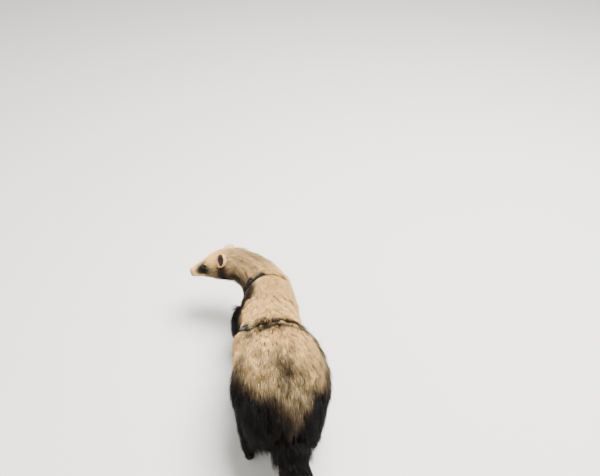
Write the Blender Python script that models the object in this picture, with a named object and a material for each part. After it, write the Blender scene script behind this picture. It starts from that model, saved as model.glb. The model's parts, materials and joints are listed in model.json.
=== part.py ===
"""A life-size ferret in a thin harness, walking with its head turned to its left.

Metres, +Z up. The animal walks along +Y and its left is -X. The flesh is laid out as tubes
along the back, the legs and the tail, run together into one smooth body, and then parted by
thin cuts into the pieces that a person would name. At the end everything moves so that the
origin lies on the floor under the middle of the bounding box.
"""

import bmesh
import bpy
import numpy as np
from mathutils import Matrix, Vector

MM = 0.001
GAP = 0.3 * MM  # kept between pieces that touch
FLESH_VOXEL = 1.8 * MM
COAT_VOXEL = 1.3 * MM
HEAD_VOXEL = 0.75 * MM
PAW_VOXEL = 0.55 * MM
FLESH_TRIANGLES = 4000
BODY_TRIANGLES = 6100
HEAD_TRIANGLES = 1900
PAW_TRIANGLES = 500

# The back, from the rump to the nape: x, y, z of the middle, half width, height above the
# middle and depth below it. From the nape to the girth this is the coat's outline; over the
# rump it is the dense coat that the longer locks rise from.
TRUNK = [
    (-19.0, 8, 78, 39.0, 34.5, 35),
    (-20.5, 28, 83, 48.5, 41.5, 41),
    (-22.0, 56, 85, 51.5, 44.5, 43),
    (-25.5, 86, 84, 50.0, 44.5, 43),
    (-34.0, 116, 79, 47.5, 42, 41),
    (-36.5, 146, 73, 41.5, 38, 38),
    (-39.5, 176, 69, 40.5, 37, 37),
    (-41.0, 201, 70, 38.0, 36, 36),
    (-43.5, 223, 75, 33.5, 32, 34),
    (-52.0, 243, 82, 29.0, 27.5, 31),
    (-66.0, 257, 87.5, 25.3, 23.5, 26.5),
    (-82.0, 267, 89.5, 22.8, 22.6, 22.6),
]
RUMP_DOME = 17 * MM

# The tail hangs back and down from the rump and carries its last third level.
TAIL = [
    (-17.0, 14, 86, 21, 19, 19),
    (-13.5, -8, 72, 17, 16.5, 16),
    (-7.0, -30, 58, 14.5, 15, 14.5),
    (-0.5, -58, 45, 13.5, 14.5, 14),
    (5.0, -88, 37, 12, 13, 12.5),
    (8.5, -113, 34, 8.5, 9, 8.5),
]
TAIL_TIP = 9 * MM

# Locks: distances along the back or the tail of each row's roots, how many go round, the
# angles that they spread over, and their length and width in millimetres. Angles run from
# the right side over the top.
RUMP_LOCKS = ((90, 70, 50, 30, 10), 10, (-24, 204), 36, 21)
TAIL_LOCKS = ((32, 60, 88, 116, 138), 4, (0, 270), 36, 17)
LOCK_HEIGHTS = (-2.4, 0.7, 2.7, 4.4)  # mm over the dense coat, from root to tip
LOCK_SHARES = (0.0, 0.42, 0.78, 1.0)

# The head, by distance behind the tip of the muzzle: middle height, half width, height
# above the middle, depth below it. It hangs on the line from the nape to the nose.
NOSE_TIP = np.array((-153.5, 275.5, 72.0)) * MM
NAPE = np.array((-83.0, 269.0, 90.0)) * MM
HEAD_ROLL = 15  # degrees that its left side is tipped up
HEAD = [
    (2.0, -0.8, 6.6, 4.6, 5.0),
    (5.0, -0.8, 9.0, 6.8, 7.2),
    (10.0, -0.4, 11.0, 8.8, 8.8),
    (16.5, 0.2, 12.8, 11.4, 10.6),
    (23.5, 1.0, 15.2, 14.0, 12.4),
    (31.5, 1.7, 19.2, 18.0, 15.0),
    (40.5, 1.8, 22.6, 21.6, 18.0),
    (50.5, 1.5, 24.2, 23.4, 20.5),
    (60.5, 0.8, 24.2, 23.8, 21.8),
    (72.0, 0.2, 23.8, 23.4, 22.8),
    (84.0, 0.0, 21.5, 20.5, 20.5),
]
HEAD_CUT = 69 * MM  # behind the nose, where the head node ends
MOUTH_LINE = -5.8 * MM
MOUTH_CORNER = 22 * MM

EYE_RADIUS = 4.1 * MM
EYE_BACK = 26.5 * MM  # behind the nose
EYE_RISE = 27  # degrees up from the head's side
EYE_PROUD = 1.2 * MM
LID_LENGTH = 3.5 * MM
LID_HEIGHT = 2.7 * MM

EAR_BACK = 55 * MM
EAR_OUT = 21.8 * MM
EAR_UP = 16.0 * MM
EAR_RADIUS = (8.6 * MM, 9.8 * MM)  # along the head, up the head
EAR_DEPTH = 6.5 * MM
EAR_WALL = 1.2 * MM
EAR_TALL = {1: (1.0, 0.9), -1: (0.74, 0.9)}  # above and below its middle; the right is laid back

NOSE_SIZE = (5.3 * MM, 4.0 * MM, 3.7 * MM)  # half width, half depth, half height

# The legs, from the body down: distance ahead of the leg's station, out from the middle
# line and up, then the half width across and the two halves along the walk.
FORE_STATION = (-40.5, 178)
FORE_LEG = [
    (10, 20, 66, 16, 21, 21),
    (-6, 29, 50, 14, 17, 18),
    (-13, 33, 39, 11, 12, 13),
    (-5, 32, 25, 8.5, 8.5, 8.5),
    (1, 31, 14, 8, 7.5, 7.5),
]
HIND_STATION = (-21.5, 36)
HIND_LEG = [
    (6, 22, 84, 24, 30, 30),
    (10, 36, 64, 17, 29, 27),
    (6, 41, 48, 13.5, 22, 20),
    (-9, 40, 34, 9.5, 12, 12.5),
    (-17, 38, 23, 8, 8.5, 9),
    (-13, 37, 13, 8, 8.5, 8),
]
ANKLE = 17 * MM  # the height at which each paw meets its leg
# How far each foot has stepped ahead and out, then how far its shoulder or hip has, in mm.
FORE_STEPS = {"left": (30, 2, 10, 12), "right": (-10, 0, 0, 0)}
HIND_STEPS = {"left": (-2, 0, 0, 0), "right": (14, 0, 0, 0)}
SIDES = {"left": -1, "right": 1}

STRAP_WIDTH = 8.5 * MM
STRAP_THICK = 1.6 * MM
GIRTH_PLACE = 0.435  # along the back
COLLAR_PLACE = 0.812
RING_ANGLE = 121  # degrees round the body from its right
RING_RADIUS = 5.5 * MM
RING_WIRE = 1.1 * MM
RING_LEAN = 55  # degrees that it is laid back over the coat behind the strap
STRAPS = {  # place along the back, lean, pull (how far, where, within) and depth in the coat
    "harness_girth": (GIRTH_PLACE, 0.05, (-0.062, RING_ANGLE, 32), 5.0 * MM),
    "harness_collar": (COLLAR_PLACE, 0.01, (0.03, 100, 60), 4.0 * MM),
}
STRAP_PROFILE = ((0, -1), (0, 1), (STRAP_THICK, 1), (STRAP_THICK, -1))  # height, side
BELLY_INSET = 0.0215  # of the back, so that the belly strap just meets the other two
HARNESS_LIES_ON = {
    "harness_girth": ("torso",),
    "harness_collar": ("neck",),
    "harness_belly": ("torso", "neck"),
}

# Where the body is parted: the tail's cut and the room round the tail behind it, by distance
# along it and mm outside its rows; the ellipsoids that hold a leg, as ahead, out and up of
# their middle and half sizes across, along and up, half way between the leg's two steps; and
# the height in mm of the cut through the elbow or the knee, with the names of a leg's pieces
# from the top.
TAIL_CUT = np.array((-17.5, -4, 73)) * MM
TAIL_WAY = (0.15, -0.8, -0.6)
TAIL_ROOM = ((0, 25, 50), (1.5, 2.5, 11))
NECK_PLACE = 0.66  # along the back
REGIONS = {
    "fore": (FORE_STATION, 0, 46, 38, (35, 31, 45)),
    "hind": (HIND_STATION, 8, 56, 50, (46, 46, 55)),
}
LEG_NODES = {
    "fore": (36, ("upper_foreleg", "lower_foreleg", "forepaw")),
    "hind": (41, ("thigh", "shank", "hindpaw")),
}


def clear_scene():
    for obj in list(bpy.data.objects):
        bpy.data.objects.remove(obj, do_unlink=True)


def material(name, colour, roughness, metallic=0.0):
    """A Principled material from an sRGB hex colour."""
    srgb = np.array([int(colour[i : i + 2], 16) / 255 for i in (0, 2, 4)])
    linear = np.where(srgb <= 0.04045, srgb / 12.92, ((srgb + 0.055) / 1.055) ** 2.4)
    made = bpy.data.materials.new(name)
    made.use_nodes = True
    shader = made.node_tree.nodes["Principled BSDF"]
    shader.inputs["Base Color"].default_value = (*linear, 1)
    shader.inputs["Roughness"].default_value = roughness
    shader.inputs["Metallic"].default_value = metallic
    made.diffuse_color = (*linear, 1)
    return made


def unit(vector):
    return vector / np.linalg.norm(vector, axis=-1, keepdims=True)


def smooth_rows(rows, count, by=slice(0, 3)):
    """Rows read at count even steps along a smooth curve through the given rows.

    Each stretch is a cubic whose ends share the slope of their neighbours; by names the
    columns that measure the distance between rows.
    """
    rows = np.array(rows, float)
    steps = np.linalg.norm(np.diff(rows[:, by], axis=0), axis=1)
    along = np.concatenate([[0], np.cumsum(steps)])
    slope = np.gradient(rows, along, axis=0)
    at = np.linspace(0, along[-1], count)
    i = np.clip(np.searchsorted(along, at, side="right") - 1, 0, len(rows) - 2)
    step = (along[i + 1] - along[i])[:, None]
    t = (at - along[i])[:, None] / step
    ahead, behind = t * t * (3 - 2 * t), (t - 1) ** 2 * (1 + 2 * t)
    leave, arrive = t * (1 - t) ** 2 * step, t * t * (t - 1) * step
    return behind * rows[i] + ahead * rows[i + 1] + leave * slope[i] + arrive * slope[i + 1]


def frames(centres, across=None):
    """Unit vectors along, across and up each point of a path, across being level by default."""
    along = unit(np.gradient(centres, axis=0))
    side = np.cross(along, (0, 0, 1)) if across is None else np.array(across, float)
    side = unit(side - (side * along).sum(-1, keepdims=True) * along)
    return along, side, np.cross(side, along)


def section(angles, width, above, below, power=2.15):
    """Offsets across and up of a slightly squared oval with different halves above and below."""
    cos, sin = np.cos(angles), np.sin(angles)
    across = width * np.sign(cos) * np.abs(cos) ** (2 / power)
    up = np.where(sin > 0, above, below) * np.sign(sin) * np.abs(sin) ** (2 / power)
    return across, up


def object_from(name, points, faces):
    """A mesh object with its faces turned outwards."""
    mesh = bpy.data.meshes.new(name)
    mesh.from_pydata([tuple(p) for p in points], [], faces)
    work = bmesh.new()
    work.from_mesh(mesh)
    bmesh.ops.recalc_face_normals(work, faces=work.faces)
    work.to_mesh(mesh)
    work.free()
    obj = bpy.data.objects.new(name, mesh)
    bpy.context.scene.collection.objects.link(obj)
    return obj


def skin_over(name, rings, first, last):
    """A closed mesh over rings of points, shut at each end by a single point."""
    count, sides = rings.shape[:2]
    points = np.vstack([rings.reshape(-1, 3), first, last])
    faces = []
    for k in range(sides):
        n = (k + 1) % sides
        faces.append((len(points) - 2, n, k))
        faces.append((len(points) - 1, (count - 1) * sides + k, (count - 1) * sides + n))
        for j in range(count - 1):
            faces.append((j * sides + k, j * sides + n, (j + 1) * sides + n, (j + 1) * sides + k))
    return object_from(name, points, faces)


def tube(name, rows, rings, sides, start_dome, end_dome, across=None, lifts=(60, 30)):
    """A closed tube of oval sections through rows in millimetres, with a dome at each end.

    lifts are the angles, in degrees, of the rings that make each dome.
    """
    rows = smooth_rows(rows, rings) * MM
    centres = rows[:, :3]
    along, side, up = frames(centres, across)
    turn = np.linspace(0, 2 * np.pi, sides, endpoint=False)
    lift = np.radians(lifts)
    order = [(0, -np.sin(a) * start_dome, np.cos(a)) for a in lift]
    order += [(i, 0.0, 1.0) for i in range(rings)]
    order += [(rings - 1, np.sin(a) * end_dome, np.cos(a)) for a in lift[::-1]]
    made = []
    for i, ahead, share in order:
        out, rise = section(turn, *(rows[i, 3:6] * share))
        middle = centres[i] + along[i] * ahead
        made.append(middle + out[:, None] * side[i] + rise[:, None] * up[i])
    first = centres[0] - along[0] * start_dome
    last = centres[-1] + along[-1] * end_dome
    return skin_over(name, np.array(made), first, last)


def ellipsoid(name, centre, halves, turned=None, rings=10, sides=20):
    """A closed ellipsoid whose own axes may be turned by a 3 x 3 matrix of columns."""
    work = bmesh.new()
    bmesh.ops.create_uvsphere(work, u_segments=sides, v_segments=rings, radius=1)
    turned = Matrix.Identity(3) if turned is None else Matrix(turned.tolist())
    place = Matrix.Translation(centre) @ turned.to_4x4() @ Matrix.Diagonal((*halves, 1))
    bmesh.ops.transform(work, matrix=place, verts=work.verts)
    mesh = bpy.data.meshes.new(name)
    work.to_mesh(mesh)
    work.free()
    obj = bpy.data.objects.new(name, mesh)
    bpy.context.scene.collection.objects.link(obj)
    return obj


def box(name, middle, columns, halves):
    """A box with its own axes as the columns of a 3 x 3 matrix."""
    corners = np.array([(x, y, z) for x in (-1, 1) for y in (-1, 1) for z in (-1, 1)])
    points = middle + (corners * halves) @ np.array(columns).T
    sides = [(0, 1, 3, 2), (4, 6, 7, 5), (0, 4, 5, 1), (2, 3, 7, 6), (0, 2, 6, 4), (1, 5, 7, 3)]
    return object_from(name, points, sides)


def half_box(name, point, facing, reach, width):
    """A box that starts half a gap short of a point and runs on in the direction faced."""
    facing = unit(np.array(facing, float))
    side = unit(np.cross(facing, (0.2, 0.9, 0.4)))
    columns = np.column_stack([side, np.cross(facing, side), facing])
    middle = np.array(point) + facing * (reach / 2 - GAP / 2)
    return box(name, middle, columns, (width / 2, width / 2, reach / 2))


def settle(obj):
    """Turns an object's modifiers into its mesh."""
    graph = bpy.context.evaluated_depsgraph_get()
    mesh = bpy.data.meshes.new_from_object(obj.evaluated_get(graph))
    obj.modifiers.clear()
    obj.data = mesh
    return obj


def copy_of(obj, name):
    made = bpy.data.objects.new(name, obj.data.copy())
    bpy.context.scene.collection.objects.link(made)
    return made


def remove(*objs):
    for obj in objs:
        bpy.data.objects.remove(obj, do_unlink=True)


def largest_surface(obj):
    """Keeps an object's largest closed surface and drops loose scraps."""
    work = bmesh.new()
    work.from_mesh(obj.data)
    left, shells = set(work.verts), []
    while left:
        shell, edge = set(), [left.pop()]
        while edge:
            vert = edge.pop()
            shell.add(vert)
            for other in (e.other_vert(vert) for e in vert.link_edges):
                if other in left:
                    left.discard(other)
                    edge.append(other)
        shells.append(shell)
    shells.sort(key=len)
    bmesh.ops.delete(work, geom=[v for s in shells[:-1] for v in s], context="VERTS")
    bmesh.ops.triangulate(work, faces=work.faces)
    bmesh.ops.recalc_face_normals(work, faces=work.faces)
    work.to_mesh(obj.data)
    work.free()
    return obj


def boolean(obj, other, operation, solver="EXACT"):
    modifier = obj.modifiers.new(operation.lower(), "BOOLEAN")
    modifier.object = other
    modifier.operation = operation
    modifier.solver = solver
    return settle(obj)


def run_together(name, pieces, voxel, rounds, triangles):
    """Melts overlapping closed pieces into one smooth skin of about so many triangles."""
    work = bmesh.new()
    for piece in pieces:
        work.from_mesh(piece.data)
    mesh = bpy.data.meshes.new(name)
    work.to_mesh(mesh)
    work.free()
    remove(*pieces)
    obj = bpy.data.objects.new(name, mesh)
    bpy.context.scene.collection.objects.link(obj)
    remesh = obj.modifiers.new("melt", "REMESH")
    remesh.mode = "VOXEL"
    remesh.voxel_size = voxel
    relax = obj.modifiers.new("relax", "SMOOTH")
    relax.factor = 0.5
    relax.iterations = rounds
    settle(obj)
    thin = obj.modifiers.new("thin", "DECIMATE")
    thin.ratio = triangles / (2 * len(obj.data.polygons))
    thin.use_collapse_triangulate = True
    return settle(obj)


def grown(obj, name, by):
    """A copy of an object whose points have moved out by a set distance."""
    made = copy_of(obj, name)
    mesh = made.data
    points, normals = np.empty(len(mesh.vertices) * 3), np.empty(len(mesh.vertices) * 3)
    mesh.vertices.foreach_get("co", points)
    mesh.vertices.foreach_get("normal", normals)
    mesh.vertices.foreach_set("co", points + by * normals)
    mesh.update()
    return made


def head_axes():
    """The head's own axes as rows: ahead, to its left, up."""
    ahead = unit(NOSE_TIP - NAPE)
    level = unit(np.cross((0, 0, 1), ahead))
    roll = np.radians(HEAD_ROLL)
    left = np.cos(roll) * level + np.sin(roll) * np.cross(ahead, level)
    return np.array([ahead, left, np.cross(ahead, left)])


def on_head(back, left, up):
    """Points in space from distances behind the nose tip, to the head's left and up."""
    ahead, leftward, upward = head_axes()
    back, left, up = (np.asarray(v, float)[..., None] for v in (back, left, up))
    return NOSE_TIP - back * ahead + left * leftward + up * upward


def head_surface(rings, sides):
    """Rings of points over the head, in the head's own distances back, left and up.

    Ovals through HEAD are pushed out by rounded swells for the whisker pads, the brows and
    the cheeks, and in by a groove along the line of the mouth.
    """
    rows = smooth_rows(HEAD, rings, by=slice(0, 1)) * MM
    turn = np.linspace(0, 2 * np.pi, sides, endpoint=False)
    left, up = section(turn[None], *(rows[:, [k]] for k in (2, 3, 4)))
    back = np.repeat(rows[:, :1], sides, axis=1)
    up = up + rows[:, 1:2]

    def swell(at_back, at_out, at_up, size):
        away = (back - at_back) ** 2 + (np.abs(left) - at_out) ** 2 + (up - at_up) ** 2
        return np.exp(-away / (2 * size**2))

    push = 1.1 * MM * swell(9 * MM, 8 * MM, -3 * MM, 3.6 * MM)
    push += 0.9 * MM * swell(27 * MM, 12 * MM, 13 * MM, 4.5 * MM)
    push -= 0.9 * MM * swell(17 * MM, 10 * MM, 6 * MM, 4.5 * MM)
    push += 1.0 * MM * swell(43 * MM, 22 * MM, -7 * MM, 8 * MM)
    near = np.clip((MOUTH_CORNER - back) / (3 * MM), 0, 1)
    under = np.clip((MOUTH_LINE - up) / (2 * MM), 0, 1) * near
    line = MOUTH_LINE + 1.5 * MM * np.sin(np.pi * np.clip(back / MOUTH_CORNER, 0, 1))
    push -= 1.3 * MM * np.exp(-(((up - line) / (0.7 * MM)) ** 2)) * near
    push -= 0.8 * MM * under
    out = unit(np.stack([np.zeros_like(left), left, up], axis=-1) + 1e-9)
    return np.stack([back, left, up], axis=-1) + push[..., None] * out


def head_point(back, rise, side):
    """A point on the head's surface at a distance behind the nose, and its outward normal."""
    row = smooth_rows(HEAD, 400, by=slice(0, 1)) * MM
    row = row[np.argmin(np.abs(row[:, 0] - back))]
    angle = np.radians(rise)
    out, up = section(np.array([angle]), row[2], row[3], row[4])
    normal = unit(np.array([-0.55, np.cos(angle) * 1.1, np.sin(angle)]))
    point = np.array([back, out[0] * side, up[0] + row[1]])
    return point, normal * (1, side, 1)


def make_head(eyes, nose, ears_filled):
    """The head with sockets for its eyes, nose and ears, lids, lips and the mouth's line."""
    grid = head_surface(110, 120)
    points = on_head(*np.moveaxis(grid, -1, 0))
    first = on_head(0.6 * MM, 0, -1.0 * MM)
    last = on_head(HEAD[-1][0] * MM, 0, 0)
    skull = skin_over("head", points, first, last)
    lids = [grown(eye, "lid", 0.95 * MM) for eye in eyes.values()]
    head = run_together("head", [skull, *lids], HEAD_VOXEL, 2, HEAD_TRIANGLES)
    cutters = [grown(eye, "socket", GAP) for eye in eyes.values()]
    cutters += [lid_opening(side) for side in SIDES.values()]
    cutters += [grown(nose, "seat", GAP), *ears_filled]
    cutters.append(half_box("behind", on_head(HEAD_CUT, 0, 0), -head_axes()[0], 0.06, 0.1))
    for cutter in cutters:
        boolean(head, cutter, "DIFFERENCE")
    remove(*cutters)
    return largest_surface(head)


def eye_place(side):
    """The middle of an eyeball and the way it faces, in space."""
    point, normal = head_point(EYE_BACK, EYE_RISE, side)
    middle = point - normal * (EYE_RADIUS - EYE_PROUD)
    faced = normal * (-1, 1, 1) @ head_axes()
    return on_head(*middle), unit(faced)


def make_eye(side, name):
    middle, _ = eye_place(side)
    return ellipsoid(name, middle, (EYE_RADIUS,) * 3, rings=8, sides=14)


def lid_opening(side):
    """The almond between the lids, as an ellipsoid that reaches out of the eye."""
    middle, faced = eye_place(side)
    along = unit(np.cross(head_axes()[2], faced))
    axes = np.column_stack([along, np.cross(faced, along), faced])
    halves = (LID_LENGTH, LID_HEIGHT, EYE_RADIUS)
    return ellipsoid("opening", middle + faced * EYE_RADIUS, halves, axes, sides=16)


def make_nose():
    """The bare nose pad with two nostrils that open forward and out."""
    axes = head_axes()
    columns = np.column_stack([axes[1], axes[0], axes[2]])
    pad = ellipsoid("nose", on_head(3.0 * MM, 0, 0.9 * MM), NOSE_SIZE, columns, 8, 14)
    for side in SIDES.values():
        at = on_head(-0.6 * MM, side * 2.7 * MM, 0.4 * MM)
        facing = ellipsoid("nostril", at, (1.2 * MM, 2.4 * MM, 1.0 * MM), columns, 6, 8)
        boolean(pad, facing, "DIFFERENCE")
        remove(facing)
    return largest_surface(pad)


def ear_axes(side):
    """The ear cup's own axes as rows: along the head, up, and out of its mouth."""
    ahead, left, up = head_axes()
    mouth = unit(0.50 * ahead + 0.74 * side * left + 0.44 * up)
    rise = unit(up - (up @ mouth) * mouth)
    return np.array([np.cross(rise, mouth), rise, mouth])


def ear_bowl(side, name, spread, depth, lift, rings=4, sides=16):
    """A filled half bowl whose flat side is lifted out of the ear's mouth."""
    across, rise, mouth = ear_axes(side)
    middle = on_head(EAR_BACK, side * EAR_OUT, EAR_UP)
    turn = np.linspace(0, 2 * np.pi, sides, endpoint=False)
    tall = np.where(np.sin(turn) > 0, *EAR_TALL[side])
    wide = (EAR_RADIUS[0] + spread) * np.cos(turn)[:, None] * across
    high = ((EAR_RADIUS[1] + spread) * np.sin(turn) * tall)[:, None] * rise
    made = [middle + mouth * lift + (wide + high) * (1 + 0.05 * (lift > MM))]
    for k in range(rings):
        angle = np.pi / 2 * k / rings
        made.append(middle - mouth * depth * np.sin(angle) + (wide + high) * np.cos(angle))
    flat = middle + mouth * lift
    return skin_over(name, np.array(made), flat, middle - mouth * depth)


def make_ear(side, name):
    """A thin cup: a bowl less a smaller bowl inside it."""
    cup = ear_bowl(side, name, 0, EAR_DEPTH, 0.4 * MM)
    hollow = ear_bowl(side, "hollow", -EAR_WALL, EAR_DEPTH - EAR_WALL, 4 * MM)
    boolean(cup, hollow, "DIFFERENCE")
    remove(hollow)
    return largest_surface(cup)


def leg_rows(station, rows, side, step):
    """A leg's rows in the model's frame, moved between the shoulder's step and the foot's."""
    made = []
    for ahead, out, up, *halves in rows:
        share = 1 - (up - rows[-1][2]) / (rows[0][2] - rows[-1][2])
        x = station[0] + side * (out + step[1] * share + step[3] * (1 - share))
        y = station[1] + ahead + step[0] * share + step[2] * (1 - share)
        made.append((x, y, up, *halves))
    return made


def leg_tube(station, rows, side, step):
    return tube("leg", leg_rows(station, rows, side, step), 14, 16, 6 * MM, 3 * MM, across=(1, 0, 0))


def make_paw(name, station, rows, side, step, length, width):
    """A paw with five toes and claws, flat below, under a short stump of its leg."""
    foot = leg_rows(station, rows, side, step)[-1]
    x, y = foot[0] * MM, foot[1] * MM
    column = [(x / MM, y / MM, z, w, w, w) for z, w in ((19, 7.4), (13, 7.2), (8, 7.6))]
    stump = tube("stump", column, 3, 10, 2 * MM, 2 * MM, (1, 0, 0), (45,))
    sole_at = (x, y + 0.32 * length, 5.6 * MM)
    sole = ellipsoid("sole", sole_at, (width * 0.46, length * 0.62, 6.2 * MM), None, 8, 12)
    pieces = [sole]
    for k in range(5):
        spread = (k - 2) / 2
        root = np.array((x + spread * width * 0.34, y + length * 0.62, 4.6 * MM))
        reach = length * (0.36 - 0.09 * spread**2)
        tip = root + (spread * width * 0.16, reach, -0.9 * MM)
        between = np.linspace(root, tip, 3) / MM
        rows_toe = [(*p, 2.5, 3.0, 3.6) for p in between]
        pieces.append(tube("toe", rows_toe, 2, 6, 2 * MM, 1.8 * MM, None, (45,)))
        pieces.append(make_claw(tip, unit(tip - root)))
    paw = run_together(name, [stump, *pieces], PAW_VOXEL, 1, PAW_TRIANGLES)
    floor = half_box("floor", (x, y, -GAP / 2), (0, 0, -1), 0.02, 0.2)
    above = half_box("above", (x, y, ANKLE), (0, 0, 1), 0.03, 0.1)
    boolean(paw, floor, "DIFFERENCE")
    boolean(paw, above, "DIFFERENCE")
    remove(floor, above)
    return largest_surface(paw)


def make_claw(tip, ahead):
    """A curved claw, as a tapering tube that bends down and stays clear of the floor."""
    rows = []
    for share in (0.0, 0.5, 1.0):
        point = tip + ahead * (0.2 + 5.2 * share) * MM + (0, 0, (0.6 - 2.2 * share**2) * MM)
        thick = 1.15 - 0.75 * share
        rows.append((*(point / MM), thick * 0.8, thick, thick))
    return tube("claw", rows, 3, 4, 0.5 * MM, 0.4 * MM, None, ())


def loop_route(name, count=40):
    """A strap's way round the body: its place along the back and its angle at each corner.

    lean sets its right side back and its left side ahead, and pull draws it ahead near an
    angle in degrees, within a spread.
    """
    place, lean, pull, sink = STRAPS[name]
    turn = np.linspace(0, 2 * np.pi, count, endpoint=False)
    drawn = pull[0] * np.exp(-(((np.degrees(turn) - pull[1]) / pull[2]) ** 2))
    return place - lean * np.cos(turn) + drawn, turn, np.full(count, sink)


def belly_route(count=16):
    """The way of the strap under the chest, from the girth strap to the collar."""
    ends = [np.interp(1.5 * np.pi, *loop_route(name)[1::-1]) for name in STRAPS]
    places = np.linspace(ends[0] + BELLY_INSET, ends[1] - BELLY_INSET, count)
    sinks = np.linspace(*(STRAPS[name][3] for name in STRAPS), count) + 0.6 * MM
    return places, np.full(count, 1.5 * np.pi), sinks


def strap_corners(route, closed, width, profile):
    """Rows of corners of a strap's section, given as heights over its line and sides, -1 or 1."""
    rows = smooth_rows(TRUNK, 240) * MM
    along, side, up = frames(rows[:, :3])
    places, turn, sinks = route
    at = np.clip(places * 239, 0, 238.9)
    near = at.astype(int)
    share = (at - near)[:, None]
    row = rows[near] * (1 - share) + rows[near + 1] * share
    out, rise = section(turn, row[:, 3], row[:, 4], row[:, 5])
    radial = out[:, None] * side[near] + rise[:, None] * up[near]
    outward = unit(radial)
    line = row[:, :3] + radial - outward * sinks[:, None]
    step = np.roll(line, -1, axis=0) - np.roll(line, 1, axis=0)
    step = step if closed else np.gradient(line, axis=0)
    over = unit(np.cross(outward, unit(step)))
    return np.array([line + outward * rise + over * way * width / 2 for rise, way in profile])


def band(name, corners, closed=True):
    """A strap's body: a closed loop of one section, or a length with flat ends.

    Its warped sides are split along the same diagonal each time, so that straps and grooves
    stay parallel.
    """
    sides, count = corners.shape[:2]
    faces = []
    for k in range(count if closed else count - 1):
        n = (k + 1) % count
        for c in range(sides):
            d = (c + 1) % sides
            faces.append((c * count + k, c * count + n, d * count + n))
            faces.append((c * count + k, d * count + n, d * count + k))
    if not closed:
        faces += [tuple(c * count + k for c in range(sides)) for k in (0, count - 1)]
    return object_from(name, corners.reshape(-1, 3), faces)


def strap_routes():
    routes = {name: (loop_route(name), True) for name in STRAPS}
    routes["harness_belly"] = (belly_route(), False)
    return routes


def make_strap(name):
    route, closed = strap_routes()[name]
    return band(name, strap_corners(route, closed, STRAP_WIDTH, STRAP_PROFILE), closed)


def strap_groove(name):
    """What a strap takes out of the coat, from just under it to the open air."""
    route, closed = strap_routes()[name]
    width = STRAP_WIDTH + 2 * GAP
    top, sky = STRAP_THICK + GAP, route[2].max() + 5 * MM
    profile = ((-GAP, -1), (-GAP, 1), (top, 1), (sky, 1), (sky, -1), (top, -1))
    if not closed:
        places = route[0].copy()
        places[[0, -1]] += np.array((-0.5, 0.5)) * BELLY_INSET
        route = (places, *route[1:])
    return band("groove", strap_corners(route, closed, width, profile), closed)


def make_nape():
    """The back of the head as a closed piece, so that neck and head share one section."""
    grid = head_surface(60, 40)
    grid = grid[grid[:, 0, 0] > HEAD_CUT - 14 * MM]
    points = on_head(*np.moveaxis(grid, -1, 0))
    return skin_over("nape", points, points[0].mean(axis=0), points[-1].mean(axis=0))


def make_body():
    """The trunk, tail and legs as one smooth body, with the locks of the long coat on it."""
    pieces = [tube("trunk", TRUNK, 40, 32, RUMP_DOME, 8 * MM), make_nape()]
    pieces.append(tube("tail", TAIL, 24, 20, 10 * MM, TAIL_TIP))
    for name, side in SIDES.items():
        pieces.append(leg_tube(FORE_STATION, FORE_LEG, side, FORE_STEPS[name]))
        pieces.append(leg_tube(HIND_STATION, HIND_LEG, side, HIND_STEPS[name]))
    flesh = run_together("flesh", pieces, FLESH_VOXEL, 8, FLESH_TRIANGLES)
    locks = make_locks(TRUNK, (RUMP_DOME, 8 * MM), RUMP_LOCKS, -1, 7)
    locks += make_locks(TAIL, (8 * MM, TAIL_TIP), TAIL_LOCKS, 1, 11)
    return run_together("body", [flesh, *locks], COAT_VOXEL, 3, BODY_TRIANGLES)


def tube_points(rows, domes, at, angle):
    """Points on a tube and their outward normals, by distance along it and angle round it.

    Distances below zero or past the last row run over the domes, which keep at least half
    of the end's width.
    """
    rows = smooth_rows(rows, 240) * MM
    steps = np.linalg.norm(np.diff(rows[:, :3], axis=0), axis=1)
    total = steps.sum()
    along, side, up = frames(rows[:, :3])
    near = np.clip(np.round(at / total * 239).astype(int), 0, 239)
    beyond = np.where(at < 0, at / domes[0], np.maximum(at - total, 0) / domes[1])
    share = np.sqrt(np.maximum(1 - beyond**2, 0.25))[:, None]
    out, rise = section(angle, rows[near, 3], rows[near, 4], rows[near, 5])
    radial = out[:, None] * side[near] + rise[:, None] * up[near]
    past = np.where(at < 0, at, np.maximum(at - total, 0))[:, None]
    points = rows[near, :3] + radial * share + along[near] * past
    lean = np.clip(beyond, -0.9, 0.9)[:, None]
    return points, unit(unit(radial) * share + along[near] * lean)


def make_locks(rows, domes, plan, way, seed):
    """Flat, tapered, overlapping locks that lie along a tube, as closed blades.

    way is -1 where the coat lies towards the tube's start and 1 where it lies towards its
    end. Each row is turned by half a lock against the last.
    """
    random = np.random.default_rng(seed)
    places, count, (low, high), length, width = plan
    shares = np.array(LOCK_SHARES)
    made = []
    for row, place in enumerate(places):
        spread = (high - low) / (count - 0.5)
        for k in range(count):
            shift, turn, size = random.uniform(-1, 1, 3)
            angle = low + spread * (k + 0.5 * (row % 2) + 0.18 * turn)
            reach = length * (1 + 0.15 * size) * MM
            at = (place + 2.5 * shift) * MM + way * reach * shares
            sway = np.radians(angle + 5 * turn * shares)
            points, normals = tube_points(rows, domes, at, sway)
            made.append(blade(points, normals, width * MM, seed + row))
    return made


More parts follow.
